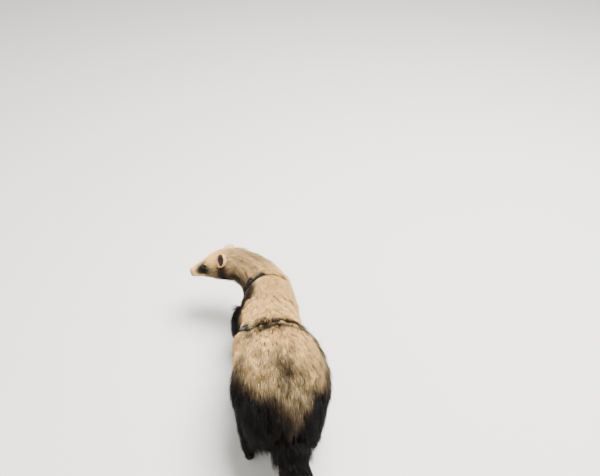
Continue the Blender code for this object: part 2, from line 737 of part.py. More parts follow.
def blade(points, normals, width, number):
    """A closed blade, ridged above and flat below, through four points on the coat."""
    spine = points + normals * (np.array(LOCK_HEIGHTS) * MM)[:, None]
    along = unit(np.gradient(spine, axis=0))
    across = unit(np.cross(along, normals))
    half = width / 2 * np.array([0.72, 1.0, 0.62])[:, None]
    thick = np.array([1.8, 1.6, 1.0])[:, None] * MM
    rings = [spine[:3] - across[:3] * half, spine[:3] + normals[:3] * thick]
    rings.append(spine[:3] + across[:3] * half)
    corners = np.vstack([np.stack(rings, axis=1).reshape(-1, 3), spine[3:]])
    faces = [(0, 1, 2)]
    for j in range(2):
        for k in range(3):
            low, high = 3 * j + k, 3 * j + (k + 1) % 3
            faces += [(low, high, high + 3), (low, high + 3, low + 3)]
    faces += [(6 + k, 6 + (k + 1) % 3, 9) for k in range(3)]
    return object_from(f"lock_{number}", corners, faces)


def back_place(share):
    """A point of the back's middle line and the way it runs there."""
    rows = smooth_rows(TRUNK, 240) * MM
    along, _, _ = frames(rows[:, :3])
    k = int(round(share * 239))
    return rows[k, :3], along[k]


def leg_region(station, side, ahead, out, up, halves):
    """The ellipsoid that parts a leg from the trunk; it reaches in from outside the body."""
    x, y = station
    centre = np.array((x + side * out, y + ahead, up)) * MM
    return ellipsoid("region", centre, np.array(halves) * MM, rings=12, sides=20)


def tail_region():
    """A tube just outside the tail, behind its cut, that widens past the tips of the rump's locks."""
    rows = np.array(TAIL)
    steps = np.linalg.norm(np.diff(rows[:, :3], axis=0), axis=1)
    along = np.concatenate([[0], np.cumsum(steps)])
    rows[:, 3:] += np.interp(along, TAIL_ROOM[0], TAIL_ROOM[1])[:, None]
    region = tube("region", rows, 24, 20, 10 * MM, TAIL_TIP + 12 * MM)
    before = half_box("before", TAIL_CUT, -np.array(TAIL_WAY), 0.4, 0.4)
    boolean(region, before, "DIFFERENCE")
    remove(before)
    return region


def part_body(body):
    """Cuts the body into torso, neck, tail and leg pieces, half a gap to each side of a cut."""
    pieces = {}
    neck_at, neck_way = back_place(NECK_PLACE)
    head_at = on_head(HEAD_CUT, 0, 0)
    rest = copy_of(body, "rest")
    regions = {"tail": tail_region()}
    for kind, (station, ahead, out, up, halves) in REGIONS.items():
        steps = {"fore": FORE_STEPS, "hind": HIND_STEPS}[kind]
        for name, side in SIDES.items():
            foot_ahead, foot_out, top_ahead, top_out = steps[name]
            middle = (ahead + (foot_ahead + top_ahead) / 2, out + (foot_out + top_out) / 2)
            regions[kind, name] = leg_region(station, side, *middle, up, halves)
    for key, region in regions.items():
        room = grown(region, "room", GAP)
        boolean(rest, room, "DIFFERENCE", "MANIFOLD")
        piece = boolean(copy_of(body, "piece"), region, "INTERSECT", "MANIFOLD")
        remove(region, room)
        if key == "tail":
            pieces[key] = piece
            continue
        split_leg(piece, *key, pieces)
        remove(piece)
    front = half_box("front", neck_at, neck_way, 0.2, 0.2)
    rear = half_box("rear", neck_at, -neck_way, 0.4, 0.4)
    muzzle = half_box("muzzle", head_at, head_axes()[0], 0.05, 0.07)
    pieces["torso"] = boolean(copy_of(rest, "torso"), front, "DIFFERENCE", "MANIFOLD")
    pieces["neck"] = boolean(copy_of(rest, "neck"), rear, "DIFFERENCE", "MANIFOLD")
    boolean(pieces["neck"], muzzle, "DIFFERENCE", "MANIFOLD")
    remove(front, rear, muzzle, rest, body)
    return {name: largest_surface(piece) for name, piece in pieces.items()}


def split_leg(leg, kind, side_name, pieces):
    """Parts a leg at its elbow or knee and takes off what its paw replaces."""
    height, (upper_name, lower_name, _) = LEG_NODES[kind]
    point = (0, 0.1, height * MM)
    low = half_box("low", point, (0, 0, -1), 0.1, 0.6)
    high = half_box("high", point, (0, 0, 1), 0.1, 0.6)
    paw = half_box("paw", (0, 0.1, ANKLE), (0, 0, -1), 0.05, 0.6)
    upper = boolean(copy_of(leg, f"{upper_name}_{side_name}"), low, "DIFFERENCE", "MANIFOLD")
    lower = boolean(copy_of(leg, f"{lower_name}_{side_name}"), high, "DIFFERENCE", "MANIFOLD")
    boolean(lower, paw, "DIFFERENCE", "MANIFOLD")
    remove(low, high, paw)
    pieces[upper.name] = upper
    pieces[lower.name] = lower


def ring_frame():
    """The middle of the lead's ring and its axes as columns: along the strap, up from its plane
    and back over the coat. It rests on the middle of the strap."""
    route = loop_route("harness_girth")
    corners = strap_corners(route, True, STRAP_WIDTH, STRAP_PROFILE)
    k = int(round(RING_ANGLE / 360 * corners.shape[1]))
    foot = (corners[2, k] + corners[3, k]) / 2
    out = unit(foot - (corners[0, k] + corners[1, k]) / 2)
    over = unit(corners[2, k] - corners[3, k])
    over = unit(over - (over @ out) * out)
    lean = np.radians(RING_LEAN)
    back = np.cos(lean) * out + np.sin(lean) * over
    above = np.sin(lean) * out - np.cos(lean) * over
    middle = foot + out * (RING_WIRE + GAP) + back * RING_RADIUS
    return middle, np.column_stack([np.cross(above, back), above, back])


def make_ring():
    """The lead's ring, laid back from the girth strap at the left of the back."""
    middle, columns = ring_frame()
    turn, round_wire = np.meshgrid(
        np.linspace(0, 2 * np.pi, 20, endpoint=False),
        np.linspace(0, 2 * np.pi, 6, endpoint=False),
        indexing="ij",
    )
    reach = RING_RADIUS + RING_WIRE * np.cos(round_wire)
    local = (np.cos(turn) * reach, RING_WIRE * np.sin(round_wire), np.sin(turn) * reach)
    points = middle + np.stack(local, axis=-1).reshape(-1, 3) @ columns.T
    faces = []
    for i in range(20):
        for j in range(6):
            n, m = (i + 1) % 20, (j + 1) % 6
            faces.append((i * 6 + j, n * 6 + j, n * 6 + m, i * 6 + m))
    return object_from("harness_ring", points, faces)


def ring_pocket():
    """The room that the ring lies in, where it presses the coat aside, open to the air."""
    middle, columns = ring_frame()
    reach = RING_RADIUS + RING_WIRE + 2 * GAP
    below, above = RING_WIRE + 2 * GAP, 9 * MM
    middle = middle + columns[:, 1] * (above - below) / 2
    return box("pocket", middle, columns, (reach, (above + below) / 2, reach))


def rest_on_floor(objs):
    """Moves everything so that the origin lies under the middle of the bounding box."""
    points = np.array([v.co for obj in objs for v in obj.data.vertices])
    low, high = points.min(axis=0), points.max(axis=0)
    shift = Vector((-(low[0] + high[0]) / 2, -(low[1] + high[1]) / 2, -low[2]))
    for obj in objs:
        obj.data.transform(Matrix.Translation(shift))


def main():
    clear_scene()
    coat_pale = material("coat_pale", "d9bf9c", 0.8)
    coat_dark = material("coat_dark", "2a211c", 0.8)
    face_coat = material("face_coat", "cdb596", 0.8)
    horn = material("nose_skin", "c98d80", 0.45)
    eye_black = material("eye", "120c0a", 0.08)
    webbing = material("webbing", "17171a", 0.7)
    steel = material("steel", "8d8f92", 0.3, 1.0)

    made = part_body(make_body())
    for kind, (station, rows, steps, length, width) in {
        "fore": (FORE_STATION, FORE_LEG, FORE_STEPS, 24 * MM, 18 * MM),
        "hind": (HIND_STATION, HIND_LEG, HIND_STEPS, 34 * MM, 18 * MM),
    }.items():
        for name, side in SIDES.items():
            paw = f"{LEG_NODES[kind][1][2]}_{name}"
            made[paw] = make_paw(paw, station, rows, side, steps[name], length, width)
    eyes, ears, filled = {}, {}, []
    for name, side in {"left": 1, "right": -1}.items():  # the head's own left is positive
        eyes[name] = make_eye(side, f"eye_{name}")
        ears[name] = make_ear(side, f"ear_{name}")
        filled.append(ear_bowl(side, "filled", GAP, EAR_DEPTH + GAP, 2.5 * MM))
    nose = make_nose()
    made["head"] = make_head(eyes, nose, filled)
    made["nose"] = nose
    for name in ("left", "right"):
        made[f"eye_{name}"] = eyes[name]
        made[f"ear_{name}"] = ears[name]
    for name, nodes in HARNESS_LIES_ON.items():
        groove = strap_groove(name)
        for node in nodes:
            boolean(made[node], groove, "DIFFERENCE", "MANIFOLD")
        remove(groove)
        made[name] = make_strap(name)
    pocket = ring_pocket()
    boolean(made["torso"], pocket, "DIFFERENCE", "MANIFOLD")
    remove(pocket)
    made["harness_ring"] = make_ring()
    for name in ("torso", "neck"):
        largest_surface(made[name])

    dark = ("thigh", "shank", "hindpaw", "upper_foreleg", "lower_foreleg", "forepaw", "tail")
    for name, obj in made.items():
        if name.startswith(dark):
            wears = coat_dark
        elif name.startswith(("head", "ear")):
            wears = face_coat
        elif name.startswith("eye"):
            wears = eye_black
        elif name == "nose":
            wears = horn
        elif name == "harness_ring":
            wears = steel
        elif name.startswith("harness"):
            wears = webbing
        else:
            wears = coat_pale
        obj.name = name
        obj.data.materials.clear()
        obj.data.materials.append(wears)
        obj.data.shade_smooth()
    rest_on_floor(list(made.values()))


main()
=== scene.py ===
"""A life-size ferret in a thin walking harness: skin, coat, face, paws, claws and straps.

Metres, +Z up. The ferret walks along +Y and its left is -X. Flesh is worked out in the same
rows of sizes as the solids, taken in by the depth of the coat, and the coat is grown over it
as closed tapered tufts. At the end each mesh is moved by SHIFT into the frame's own axes.
"""

import bpy
import numpy as np
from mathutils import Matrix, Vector
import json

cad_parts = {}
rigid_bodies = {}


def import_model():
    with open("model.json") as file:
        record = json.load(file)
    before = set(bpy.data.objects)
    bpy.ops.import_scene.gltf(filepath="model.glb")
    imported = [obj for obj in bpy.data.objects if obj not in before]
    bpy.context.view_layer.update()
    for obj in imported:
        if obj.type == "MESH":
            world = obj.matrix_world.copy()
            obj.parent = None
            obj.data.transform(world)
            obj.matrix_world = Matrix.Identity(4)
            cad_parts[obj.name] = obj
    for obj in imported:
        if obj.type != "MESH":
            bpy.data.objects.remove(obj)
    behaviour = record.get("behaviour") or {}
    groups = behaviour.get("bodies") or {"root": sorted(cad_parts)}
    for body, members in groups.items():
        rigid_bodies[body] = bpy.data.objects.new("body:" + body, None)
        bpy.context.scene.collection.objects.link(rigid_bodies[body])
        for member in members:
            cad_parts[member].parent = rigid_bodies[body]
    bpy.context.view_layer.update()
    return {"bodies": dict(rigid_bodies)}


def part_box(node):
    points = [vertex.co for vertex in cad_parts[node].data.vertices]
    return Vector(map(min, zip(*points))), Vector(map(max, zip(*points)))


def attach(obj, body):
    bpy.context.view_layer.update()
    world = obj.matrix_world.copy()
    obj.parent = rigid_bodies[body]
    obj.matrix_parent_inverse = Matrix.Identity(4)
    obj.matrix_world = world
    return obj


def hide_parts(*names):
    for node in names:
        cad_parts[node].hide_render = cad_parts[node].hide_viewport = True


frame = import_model()

MM = 0.001

# The back, from the rump to the nape: x, y, z of the middle, half width, height above the
# middle and depth below it, all in millimetres, then how far the skin lies inside them and
# how far the coat's tips lie outside the skin.
TRUNK = [
    (-19.0, 8, 78, 39.0, 34.5, 35, 5.0, 13.0),
    (-20.5, 28, 83, 48.5, 41.5, 41, 5.0, 11.0),
    (-22.0, 56, 85, 51.5, 44.5, 43, 5.0, 11.0),
    (-25.5, 86, 84, 50.0, 44.5, 43, 5.5, 10.5),
    (-34.0, 116, 79, 47.5, 42, 41, 6.5, 7.5),
    (-36.5, 146, 73, 41.5, 38, 38, 6.0, 6.3),
    (-39.5, 176, 69, 40.5, 37, 37, 5.5, 5.8),
    (-41.0, 201, 70, 38.0, 36, 36, 5.3, 5.5),
    (-43.5, 223, 75, 33.5, 32, 34, 5.0, 5.2),
    (-52.0, 243, 82, 29.0, 27.5, 31, 5.0, 5.2),
    (-66.0, 257, 87.5, 25.3, 23.5, 26.5, 4.4, 4.6),
    (-82.0, 267, 89.5, 22.8, 22.6, 22.6, 3.0, 3.4),
]
TAIL = [
    (-17.0, 14, 86, 21, 19, 19, 6.0, 10.5),
    (-13.5, -8, 72, 17, 16.5, 16, 5.0, 10.5),
    (-7.0, -30, 58, 14.5, 15, 14.5, 4.5, 10.5),
    (-0.5, -58, 45, 13.5, 14.5, 14, 4.5, 10.0),
    (5.0, -88, 37, 12, 13, 12.5, 4.0, 9.0),
    (8.5, -113, 34, 8.5, 9, 8.5, 3.0, 7.0),
]
# The legs. Rows run from the body down, in mm: ahead of the leg's station, out from the middle
# line and up, then half width across and the two halves along the walk, then skin and coat
# depths. Steps say how far ahead and out a foot has moved, then its shoulder or hip. A paw's
# two sizes are its length and its width.
LEGS = {
    "fore": {
        "station": (-40.5, 178),
        "rows": [
            (10, 20, 66, 16, 21, 21, 5.0, 5.2),
            (-6, 29, 50, 14, 17, 18, 3.6, 4.0),
            (-13, 33, 39, 11, 12, 13, 2.8, 3.2),
            (-5, 32, 25, 8.5, 8.5, 8.5, 1.9, 2.2),
            (1, 31, 14, 8, 7.5, 7.5, 1.4, 1.7),
        ],
        "steps": {"left": (30, 2, 10, 12), "right": (-10, 0, 0, 0)},
        "paw": (24, 18),
    },
    "hind": {
        "station": (-21.5, 36),
        "rows": [
            (6, 22, 84, 24, 30, 30, 6.0, 8.0),
            (10, 36, 64, 17, 29, 27, 5.0, 7.0),
            (6, 41, 48, 13.5, 22, 20, 3.8, 5.0),
            (-9, 40, 34, 9.5, 12, 12.5, 2.6, 3.4),
            (-17, 38, 23, 8, 8.5, 9, 1.9, 2.4),
            (-13, 37, 13, 8, 8.5, 8, 1.5, 1.9),
        ],
        "steps": {"left": (-2, 0, 0, 0), "right": (14, 0, 0, 0)},
        "paw": (34, 18),
    },
}
SIDES = {"left": -1, "right": 1}  # along X
HEAD_SIDES = {"left": 1, "right": -1}  # along the head's own way to its left
ACROSS = (1, 0, 0)  # the legs' own way across

# The head: distance behind the nose, middle height, half width, height above, depth below.
NOSE_TIP = np.array((-153.5, 275.5, 72.0)) * MM
NAPE = np.array((-83.0, 269.0, 90.0)) * MM
HEAD_ROLL = 15  # degrees
HEAD = [
    (2.0, -0.8, 6.6, 4.6, 5.0),
    (5.0, -0.8, 9.0, 6.8, 7.2),
    (10.0, -0.4, 11.0, 8.8, 8.8),
    (16.5, 0.2, 12.8, 11.4, 10.6),
    (23.5, 1.0, 15.2, 14.0, 12.4),
    (31.5, 1.7, 19.2, 18.0, 15.0),
    (40.5, 1.8, 22.6, 21.6, 18.0),
    (50.5, 1.5, 24.2, 23.4, 20.5),
    (60.5, 0.8, 24.2, 23.8, 21.8),
    (72.0, 0.2, 23.8, 23.4, 22.8),
    (84.0, 0.0, 21.5, 20.5, 20.5),
]
HEAD_GRID = (230, 260)  # rings, and points on each
HEAD_SHARE = 0.93  # of the rows' length that the head's skin covers; the rest is inside the neck
# The forms of the face, in mm: how far each pushes the skin out, where it lies back, out and
# up, and how wide it is.
FACE_FORMS = {
    "whisker_pad": (1.3, 8.5, 8, -2.6, 3.4),
    "brow": (1.2, 28, 11, 14, 4.2),
    "hollow_before_eye": (-1.1, 17, 10, 6, 4.5),
    "cheek": (1.2, 43, 22, -7, 8),
    "hollow_of_forehead": (-0.5, 24, 0, 15, 3.0),
}
FACE_DEPTH = ((0, 8, 20, 32, 50, 72), (0.2, 0.5, 1.0, 1.6, 2.4, 3.0))  # mm of coat, by mm back
MOUTH_LINE = -5.8 * MM
MOUTH_CORNER = 22 * MM
EYE_RADIUS = 4.1 * MM
EYE_BACK = 26.5 * MM
EYE_RISE = 27  # degrees above level, round the head's section
EYE_PROUD = 1.2 * MM
CORNEA_SWELL = 0.05  # of the eyeball's radius
LID_HALF, LID_UPPER, LID_LOWER = 3.7 * MM, 2.8 * MM, 2.25 * MM
LID_REACH = 1.75  # how far the lids run out, in the scale of their opening
LID_SINK = 3.2 * MM  # how far the skin is sunk under them
EAR_BACK, EAR_OUT, EAR_UP = 55 * MM, 21.8 * MM, 16.0 * MM
EAR_RADIUS = (8.6 * MM, 9.8 * MM)
EAR_DEPTH = 6.5 * MM
EAR_SEAT = 0.8 * MM  # how far the ear's root lies under the skin
EAR_TALL = {1: (1.0, 0.9), -1: (0.74, 0.9)}  # above and below its middle; the right is laid back

STRAP_WIDTH = 8.5 * MM
STRAP_THICK = 1.6 * MM
STRAP_SIDES = 28  # points round its section
SELVEDGE = 0.16  # how much thinner than its edge the rest of each face is
STRAP_EDGES = (1.2 * MM, 0.5 * MM)  # how far inside its rear and front edge roots still grow
STRAP_NEAR = 7 * MM  # from its middle line: roots within this and its edges are left out
OVERLAP = 30 * MM  # from its middle line: roots within this may lie over it
RING_ANGLE = 121  # degrees round the body from its right, over the back
RING_RADIUS = 5.5 * MM
RING_WIRE = 1.1 * MM
RING_LEAN = 55  # degrees that it is laid back over the coat behind the strap
STRAPS = {  # place along the back, lean, pull (how far, where, within) and depth in the coat
    "harness_girth": (0.435, 0.05, (-0.062, RING_ANGLE, 32), 5.0 * MM),
    "harness_collar": (0.812, 0.01, (0.03, 100, 60), 4.0 * MM),
}
BELLY_INSET = 0.0215  # how far the belly strap's ends stay off the two loops, along the back
BELLY_SINK = 0.6 * MM  # how much deeper in the coat it lies
ROOT_SINK = 0.4 * MM  # how far under the skin each tuft starts
LEG_LOWEST = 12 * MM  # where the body's coat ends and the paws' coat takes over
FLOOR_GAP = 0.35 * MM  # the lowest that a tuft's spine may lie
PAD_LOWEST = 0.05 * MM  # and a foot pad
OVAL_POWER = 2.15  # of the body's sections: 2 is an ellipse and more is squarer


def unit(vector):
    """Vectors scaled to a length of 1."""
    return vector / np.maximum(np.linalg.norm(vector, axis=-1, keepdims=True), 1e-12)


def square_to(way, other):
    """A unit vector along what is left of a way once its part along another is taken out."""
    return unit(way - (way * other).sum(-1, keepdims=True) * other)


def turns(count):
    """Even angles once round."""
    return np.linspace(0, 2 * np.pi, count, endpoint=False)


def ball(rings, sides):
    """A grid on a unit sphere: two ways across its axis, the way along it, and the latitude."""
    lift = np.linspace(-np.pi / 2, np.pi / 2, rings + 2)[1:-1, None]
    turn = turns(sides)[None]
    return np.cos(lift) * np.cos(turn), np.cos(lift) * np.sin(turn), np.sin(lift) + 0 * turn, lift


def smooth_step(low, high, value):
    """0 below low, 1 above high, and 3t^2 - 2t^3 between them."""
    t = np.clip((value - low) / (high - low), 0, 1)
    return t * t * (3 - 2 * t)


def bump(value, middle, width):
    """A bell, exp(-(x / width)^2)."""
    return np.exp(-(((value - middle) / width) ** 2))


def smooth_rows(rows, count, by=slice(0, 3)):
    """Rows read at even steps along cubics whose ends share their neighbours' slopes."""
    rows = np.array(rows, float)
    steps = np.linalg.norm(np.diff(rows[:, by], axis=0), axis=1)
    along = np.concatenate([[0], np.cumsum(steps)])
    slope = np.gradient(rows, along, axis=0)
    at = np.linspace(0, along[-1], count)
    i = np.clip(np.searchsorted(along, at, side="right") - 1, 0, len(rows) - 2)
    step = (along[i + 1] - along[i])[:, None]
    t = (at - along[i])[:, None] / step
    ahead, behind = t * t * (3 - 2 * t), (t - 1) ** 2 * (1 + 2 * t)
    leave, arrive = t * (1 - t) ** 2 * step, t * t * (t - 1) * step
    return behind * rows[i] + ahead * rows[i + 1] + leave * slope[i] + arrive * slope[i + 1]


def frames(centres, across=None):
    """Unit vectors along, across and up each point of a path, across being level by default."""
    along = unit(np.gradient(centres, axis=0))
    side = np.cross(along, (0, 0, 1)) if across is None else np.array(across, float)
    side = square_to(side, along)
    return along, side, np.cross(side, along)


def section(angles, width, above, below, power=OVAL_POWER):
    """Offsets across and up of |x / width|^power + |y / half|^power = 1.

    The upper and the lower half have their own heights.
    """
    cos, sin = np.cos(angles), np.sin(angles)
    across = width * np.sign(cos) * np.abs(cos) ** (2 / power)
    up = np.where(sin > 0, above, below) * np.sign(sin) * np.abs(sin) ** (2 / power)
    return across, up


def leg_rows(kind, name):
    """A leg's rows, moved ahead and out by the foot's step below and the shoulder's above."""
    leg = LEGS[kind]
    rows = np.array(leg["rows"], float)
    foot_ahead, foot_out, top_ahead, top_out = leg["steps"][name]
    share = 1 - (rows[:, 2] - rows[-1, 2]) / (rows[0, 2] - rows[-1, 2])
    out = rows[:, 1] + foot_out * share + top_out * (1 - share)
    x = leg["station"][0] + SIDES[name] * out
    y = leg["station"][1] + rows[:, 0] + foot_ahead * share + top_ahead * (1 - share)
    return np.column_stack([x, y, rows[:, 2:]])


def all_legs():
    """The rows of the four legs by name, the left ones first."""
    return {f"{kind}_{name}": leg_rows(kind, name) for name in SIDES for kind in LEGS}


def limb(rows, count, across=None):
    """A path with its sections as arrays in metres, read at even steps."""
    rows = smooth_rows(rows, count) * MM
    along, side, up = frames(rows[:, :3], across)
    steps = np.linalg.norm(np.diff(rows[:, :3], axis=0), axis=1)
    return {
        "centres": rows[:, :3],
        "halves": rows[:, 3:6],
        "inset": rows[:, 6],
        "depth": rows[:, 7],
        "along": along,
        "side": side,
        "up": up,
        "at": np.concatenate([[0], np.cumsum(steps)]),
    }


def make_limbs():
    """The path of every limb by name; their order numbers them, the trunk 0 and the tail 1."""
    limbs = {"trunk": limb(TRUNK, 90), "tail": limb(TAIL, 60)}
    return limbs | {name: limb(rows, 40, ACROSS) for name, rows in all_legs().items()}


def linked(name, data):
    """A new object in the scene that shows a mesh, lamp or camera."""
    obj = bpy.data.objects.new(name, data)
    bpy.context.scene.collection.objects.link(obj)
    return obj


def mesh_object(name, points, faces, smooth=True):
    """A mesh object whose faces all have the same number of corners, moved into the frame."""
    faces = np.asarray(faces, np.int32)
    corners = faces.shape[1]
    mesh = bpy.data.meshes.new(name)
    mesh.vertices.add(len(points))
    mesh.vertices.foreach_set("co", (points + SHIFT).astype(np.float32).ravel())
    mesh.loops.add(faces.size)
    mesh.loops.foreach_set("vertex_index", faces.ravel())
    mesh.polygons.add(len(faces))
    mesh.polygons.foreach_set("loop_start", np.arange(0, faces.size, corners, dtype=np.int32))
    mesh.update(calc_edges=True)
    if smooth:
        mesh.shade_smooth()
    return linked(name, mesh)


def ring_faces(count, sides):
    """Two triangles for each cell of a grid of rings that close round."""
    ring, k = np.meshgrid(np.arange(count - 1), np.arange(sides), indexing="ij")
    a, b = ring * sides + k, ring * sides + (k + 1) % sides
    c, d = b + sides, a + sides
    return np.concatenate([np.stack([a, b, c], -1), np.stack([a, c, d], -1)]).reshape(-1, 3)


def closed_rings(rings, first, last):
    """Points and triangles of rings shut at both ends by a point, facing outwards."""
    count, sides = rings.shape[:2]
    points = np.vstack([rings.reshape(-1, 3), first, last])
    k = np.arange(sides)
    n = (k + 1) % sides
    start, end = np.full(sides, len(points) - 2), np.full(sides, len(points) - 1)
    far = (count - 1) * sides
    caps = [np.stack([start, n, k], -1), np.stack([end, far + k, far + n], -1)]
    faces = np.vstack([ring_faces(count, sides), *caps])
    return points, outward(points, faces)


def wrapped_rings(rings):
    """Points and triangles of rings whose last joins the first, facing outwards."""
    points = rings.reshape(-1, 3)
    faces = ring_faces(len(rings) + 1, rings.shape[1]) % len(points)
    return points, outward(points, faces)


def outward(points, faces):
    """The same closed faces, turned round if their enclosed volume comes out negative."""
    a, b, c = (points[faces[:, k]] for k in range(3))
    return faces if np.einsum("ij,ij->i", a, np.cross(b, c)).sum() > 0 else faces[:, ::-1]


def tube_shape(rows, count, sides, domes, across=None):
    """Points and faces of a closed tube inside a limb's rows by its inset.

    Both ends are domes, three rings on a quarter of an ellipse that stand out by domes in mm.
    """
    path = limb(rows, count, across)
    lift = np.radians([65, 40, 20])
    pick = np.concatenate([[0] * 3, np.arange(count), [count - 1] * 3])
    front, back = np.sin(lift[::-1]) * domes[1] * MM, -np.sin(lift) * domes[0] * MM
    ahead = np.concatenate([back, np.zeros(count), front])[:, None]
    share = np.concatenate([np.cos(lift), np.ones(count), np.cos(lift[::-1])])[:, None]
    halves = (path["halves"] - path["inset"][:, None])[pick] * share
    out, rise = section(turns(sides)[None], halves[:, [0]], halves[:, [1]], halves[:, [2]])
    middle = path["centres"][pick] + path["along"][pick] * ahead
    side, up = path["side"][pick][:, None], path["up"][pick][:, None]
    rings = middle[:, None] + out[..., None] * side + rise[..., None] * up
    first = path["centres"][0] - path["along"][0] * domes[0] * MM
    last = path["centres"][-1] + path["along"][-1] * domes[1] * MM
    return closed_rings(rings, first, last)


def join_shapes(shapes):
    """Several (points, faces) pairs as one."""
    starts = np.cumsum([0] + [len(p) for p, _ in shapes[:-1]])
    points = np.vstack([p for p, _ in shapes])
    return points, np.vstack([f + s for (_, f), s in zip(shapes, starts)])


def melted(name, shapes, voxel, rounds):
    """Overlapping closed shapes run together into one smooth closed skin."""
    obj = mesh_object(name, *join_shapes(shapes))
    remesh = obj.modifiers.new("melt", "REMESH")
    remesh.mode = "VOXEL"
    remesh.voxel_size = voxel
    relax = obj.modifiers.new("relax", "SMOOTH")
    relax.factor = 0.5
    relax.iterations = rounds
    graph = bpy.context.evaluated_depsgraph_get()
    mesh = bpy.data.meshes.new_from_object(obj.evaluated_get(graph))
    obj.modifiers.clear()
    old = obj.data
    obj.data = mesh
    bpy.data.meshes.remove(old)
    mesh.name = name
    mesh.shade_smooth()
    return obj


def mesh_arrays(obj):
    """A mesh's points (in this file's axes), normals and triangles."""
    mesh = obj.data
    mesh.calc_loop_triangles()

    def read(rows, field, kind):
        values = np.empty(len(rows) * 3, kind)
        rows.foreach_get(field, values)
        return values.reshape(-1, 3)

    points = read(mesh.vertices, "co", np.float32) - SHIFT
    normals = read(mesh.vertices, "normal", np.float32)
    return points, normals, read(mesh.loop_triangles, "vertices", np.int32)


def set_attribute(obj, name, values):
    """Stores a number on each point."""
    attribute = obj.data.attributes.new(name, "FLOAT", "POINT")
    attribute.data.foreach_set("value", values.astype(np.float32))


def set_uv(obj, name, places):
    """Stores a flat place for each corner of each face."""
    layer = obj.data.uv_layers.new(name=name)
    layer.data.foreach_set("uv", places.astype(np.float32).ravel())


def head_axes():
    """The head's own axes as rows: ahead, to its left, up."""
    ahead = unit(NOSE_TIP - NAPE)
    level = unit(np.cross((0, 0, 1), ahead))
    roll = np.radians(HEAD_ROLL)
    left = np.cos(roll) * level + np.sin(roll) * np.cross(ahead, level)
    return np.array([ahead, left, np.cross(ahead, left)])


def on_head(back, left, up):
    """Points in space from distances behind the nose tip, to the head's left and up."""
    ahead, leftward, upward = head_axes()
    back, left, up = (np.asarray(v, float)[..., None] for v in (back, left, up))
    return NOSE_TIP - back * ahead + left * leftward + up * upward


def in_head(points):
    """Distances behind the nose tip, to the head's left and up, from points in space."""
    local = (points - NOSE_TIP) @ head_axes().T
    return -local[..., 0], local[..., 1], local[..., 2]


def head_row(back):
    """The head's sizes at a distance behind the nose: it, middle, half width, above, below."""
    rows = smooth_rows(HEAD, 400, by=slice(0, 1)) * MM
    return rows[np.argmin(np.abs(rows[:, 0] - back))]


def eye_place(side):
    """The middle of an eyeball and the way it faces, in space."""
    row = head_row(EYE_BACK)
    angle = np.radians(EYE_RISE)
    out, up = section(np.array([angle]), row[2], row[3], row[4])
    normal = unit(np.array([-0.55, np.cos(angle) * 1.1, np.sin(angle)]))
    point = np.array([EYE_BACK, out[0] * side, up[0] + row[1]])
    normal = normal * (1, side, 1)
    middle = point - normal * (EYE_RADIUS - EYE_PROUD)
    return on_head(*middle), unit(normal * (-1, 1, 1) @ head_axes())


# The frame's axes start under the middle of the solids; the eye says by how much.
SHIFT = np.array(sum(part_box("eye_left"), Vector()) / 2) - eye_place(1)[0]
SHIFT[2] = 0.0


def face_depth(back):
    """How thick the head's coat is at a distance behind the nose."""
    return np.interp(back / MM, *FACE_DEPTH) * MM


def head_skin_rings(rings, sides):
    """Rings over the head's skin, in space, closest together at the nose.

    Ovals through HEAD, taken in by the face's coat, are pushed out by bells, exp(-r^2 / 2 w^2),
    one for each of FACE_FORMS, and in along the mouth, under it and at the cleft of the lip.
    """
    count = 600
    place = np.linspace(0, 1, rings) ** 1.15 * HEAD_SHARE
    pick = (place * (count - 1)).round().astype(int)
    rows = smooth_rows(HEAD, count, by=slice(0, 1))[pick] * MM
    inset = face_depth(rows[:, [0]])
    left, up = section(turns(sides)[None], *(rows[:, [k]] - inset for k in (2, 3, 4)))
    back = np.repeat(rows[:, :1], sides, axis=1)
    up = up + rows[:, 1:2]
    push = 0
    for height, at_back, at_out, at_up, size in np.array(list(FACE_FORMS.values())) * MM:
        away = (back - at_back) ** 2 + (np.abs(left) - at_out) ** 2 + (up - at_up) ** 2
        push = push + height * np.exp(-away / (2 * size**2))
    near = smooth_step(0, 4 * MM, MOUTH_CORNER - back)
    line = MOUTH_LINE + 1.5 * MM * np.sin(np.pi * np.clip(back / MOUTH_CORNER, 0, 1))
    push -= 1.5 * MM * bump(up, line, 0.55 * MM) * near
    push += 0.35 * MM * bump(up, line + 1.3 * MM, 0.8 * MM) * near
    push -= 0.9 * MM * smooth_step(0, 2 * MM, line - up) * near
    cleft = bump(left, 0, 0.5 * MM) * smooth_step(0, 3 * MM, 8 * MM - back)
    push -= 0.7 * MM * cleft * smooth_step(-7 * MM, -4 * MM, up) * (up < 0)
    out = unit(np.stack([np.zeros_like(left), left, up], axis=-1) + 1e-9)
    places = np.stack([back, left, up], axis=-1) + push[..., None] * out
    return on_head(*np.moveaxis(places, -1, 0))


def eye_local(points, side):
    """Places about an eye: ahead, up and out from the eyeball's middle, and those ways."""
    middle, faced = eye_place(side)
    ahead = head_axes()[0]
    along = square_to(unit(ahead - (ahead @ faced) * faced + 0.12 * head_axes()[2]), faced)
    rise = np.cross(faced, along)
    rise = rise * np.sign(rise @ head_axes()[2])
    away = points - middle
    return away @ along, away @ rise, away @ faced, np.array([along, rise, faced])


def almond(x, y):
    """1 on the edge of the opening between the lids, less inside it."""
    tall = np.where(y > 0, LID_UPPER, LID_LOWER)
    return np.sqrt((x / LID_HALF) ** 2 + (y / tall) ** 2)


def ear_local(points, side):
    """Places about an ear in the scale of its rim: 1 on the rim, and height out of its mouth."""
    across, rise, mouth = ear_axes(side)
    away = points - on_head(EAR_BACK, side * EAR_OUT, EAR_UP)
    a, b = away @ across / EAR_RADIUS[0], away @ rise / EAR_RADIUS[1]
    return np.hypot(a, b / np.where(b > 0, *EAR_TALL[side])), away @ mouth


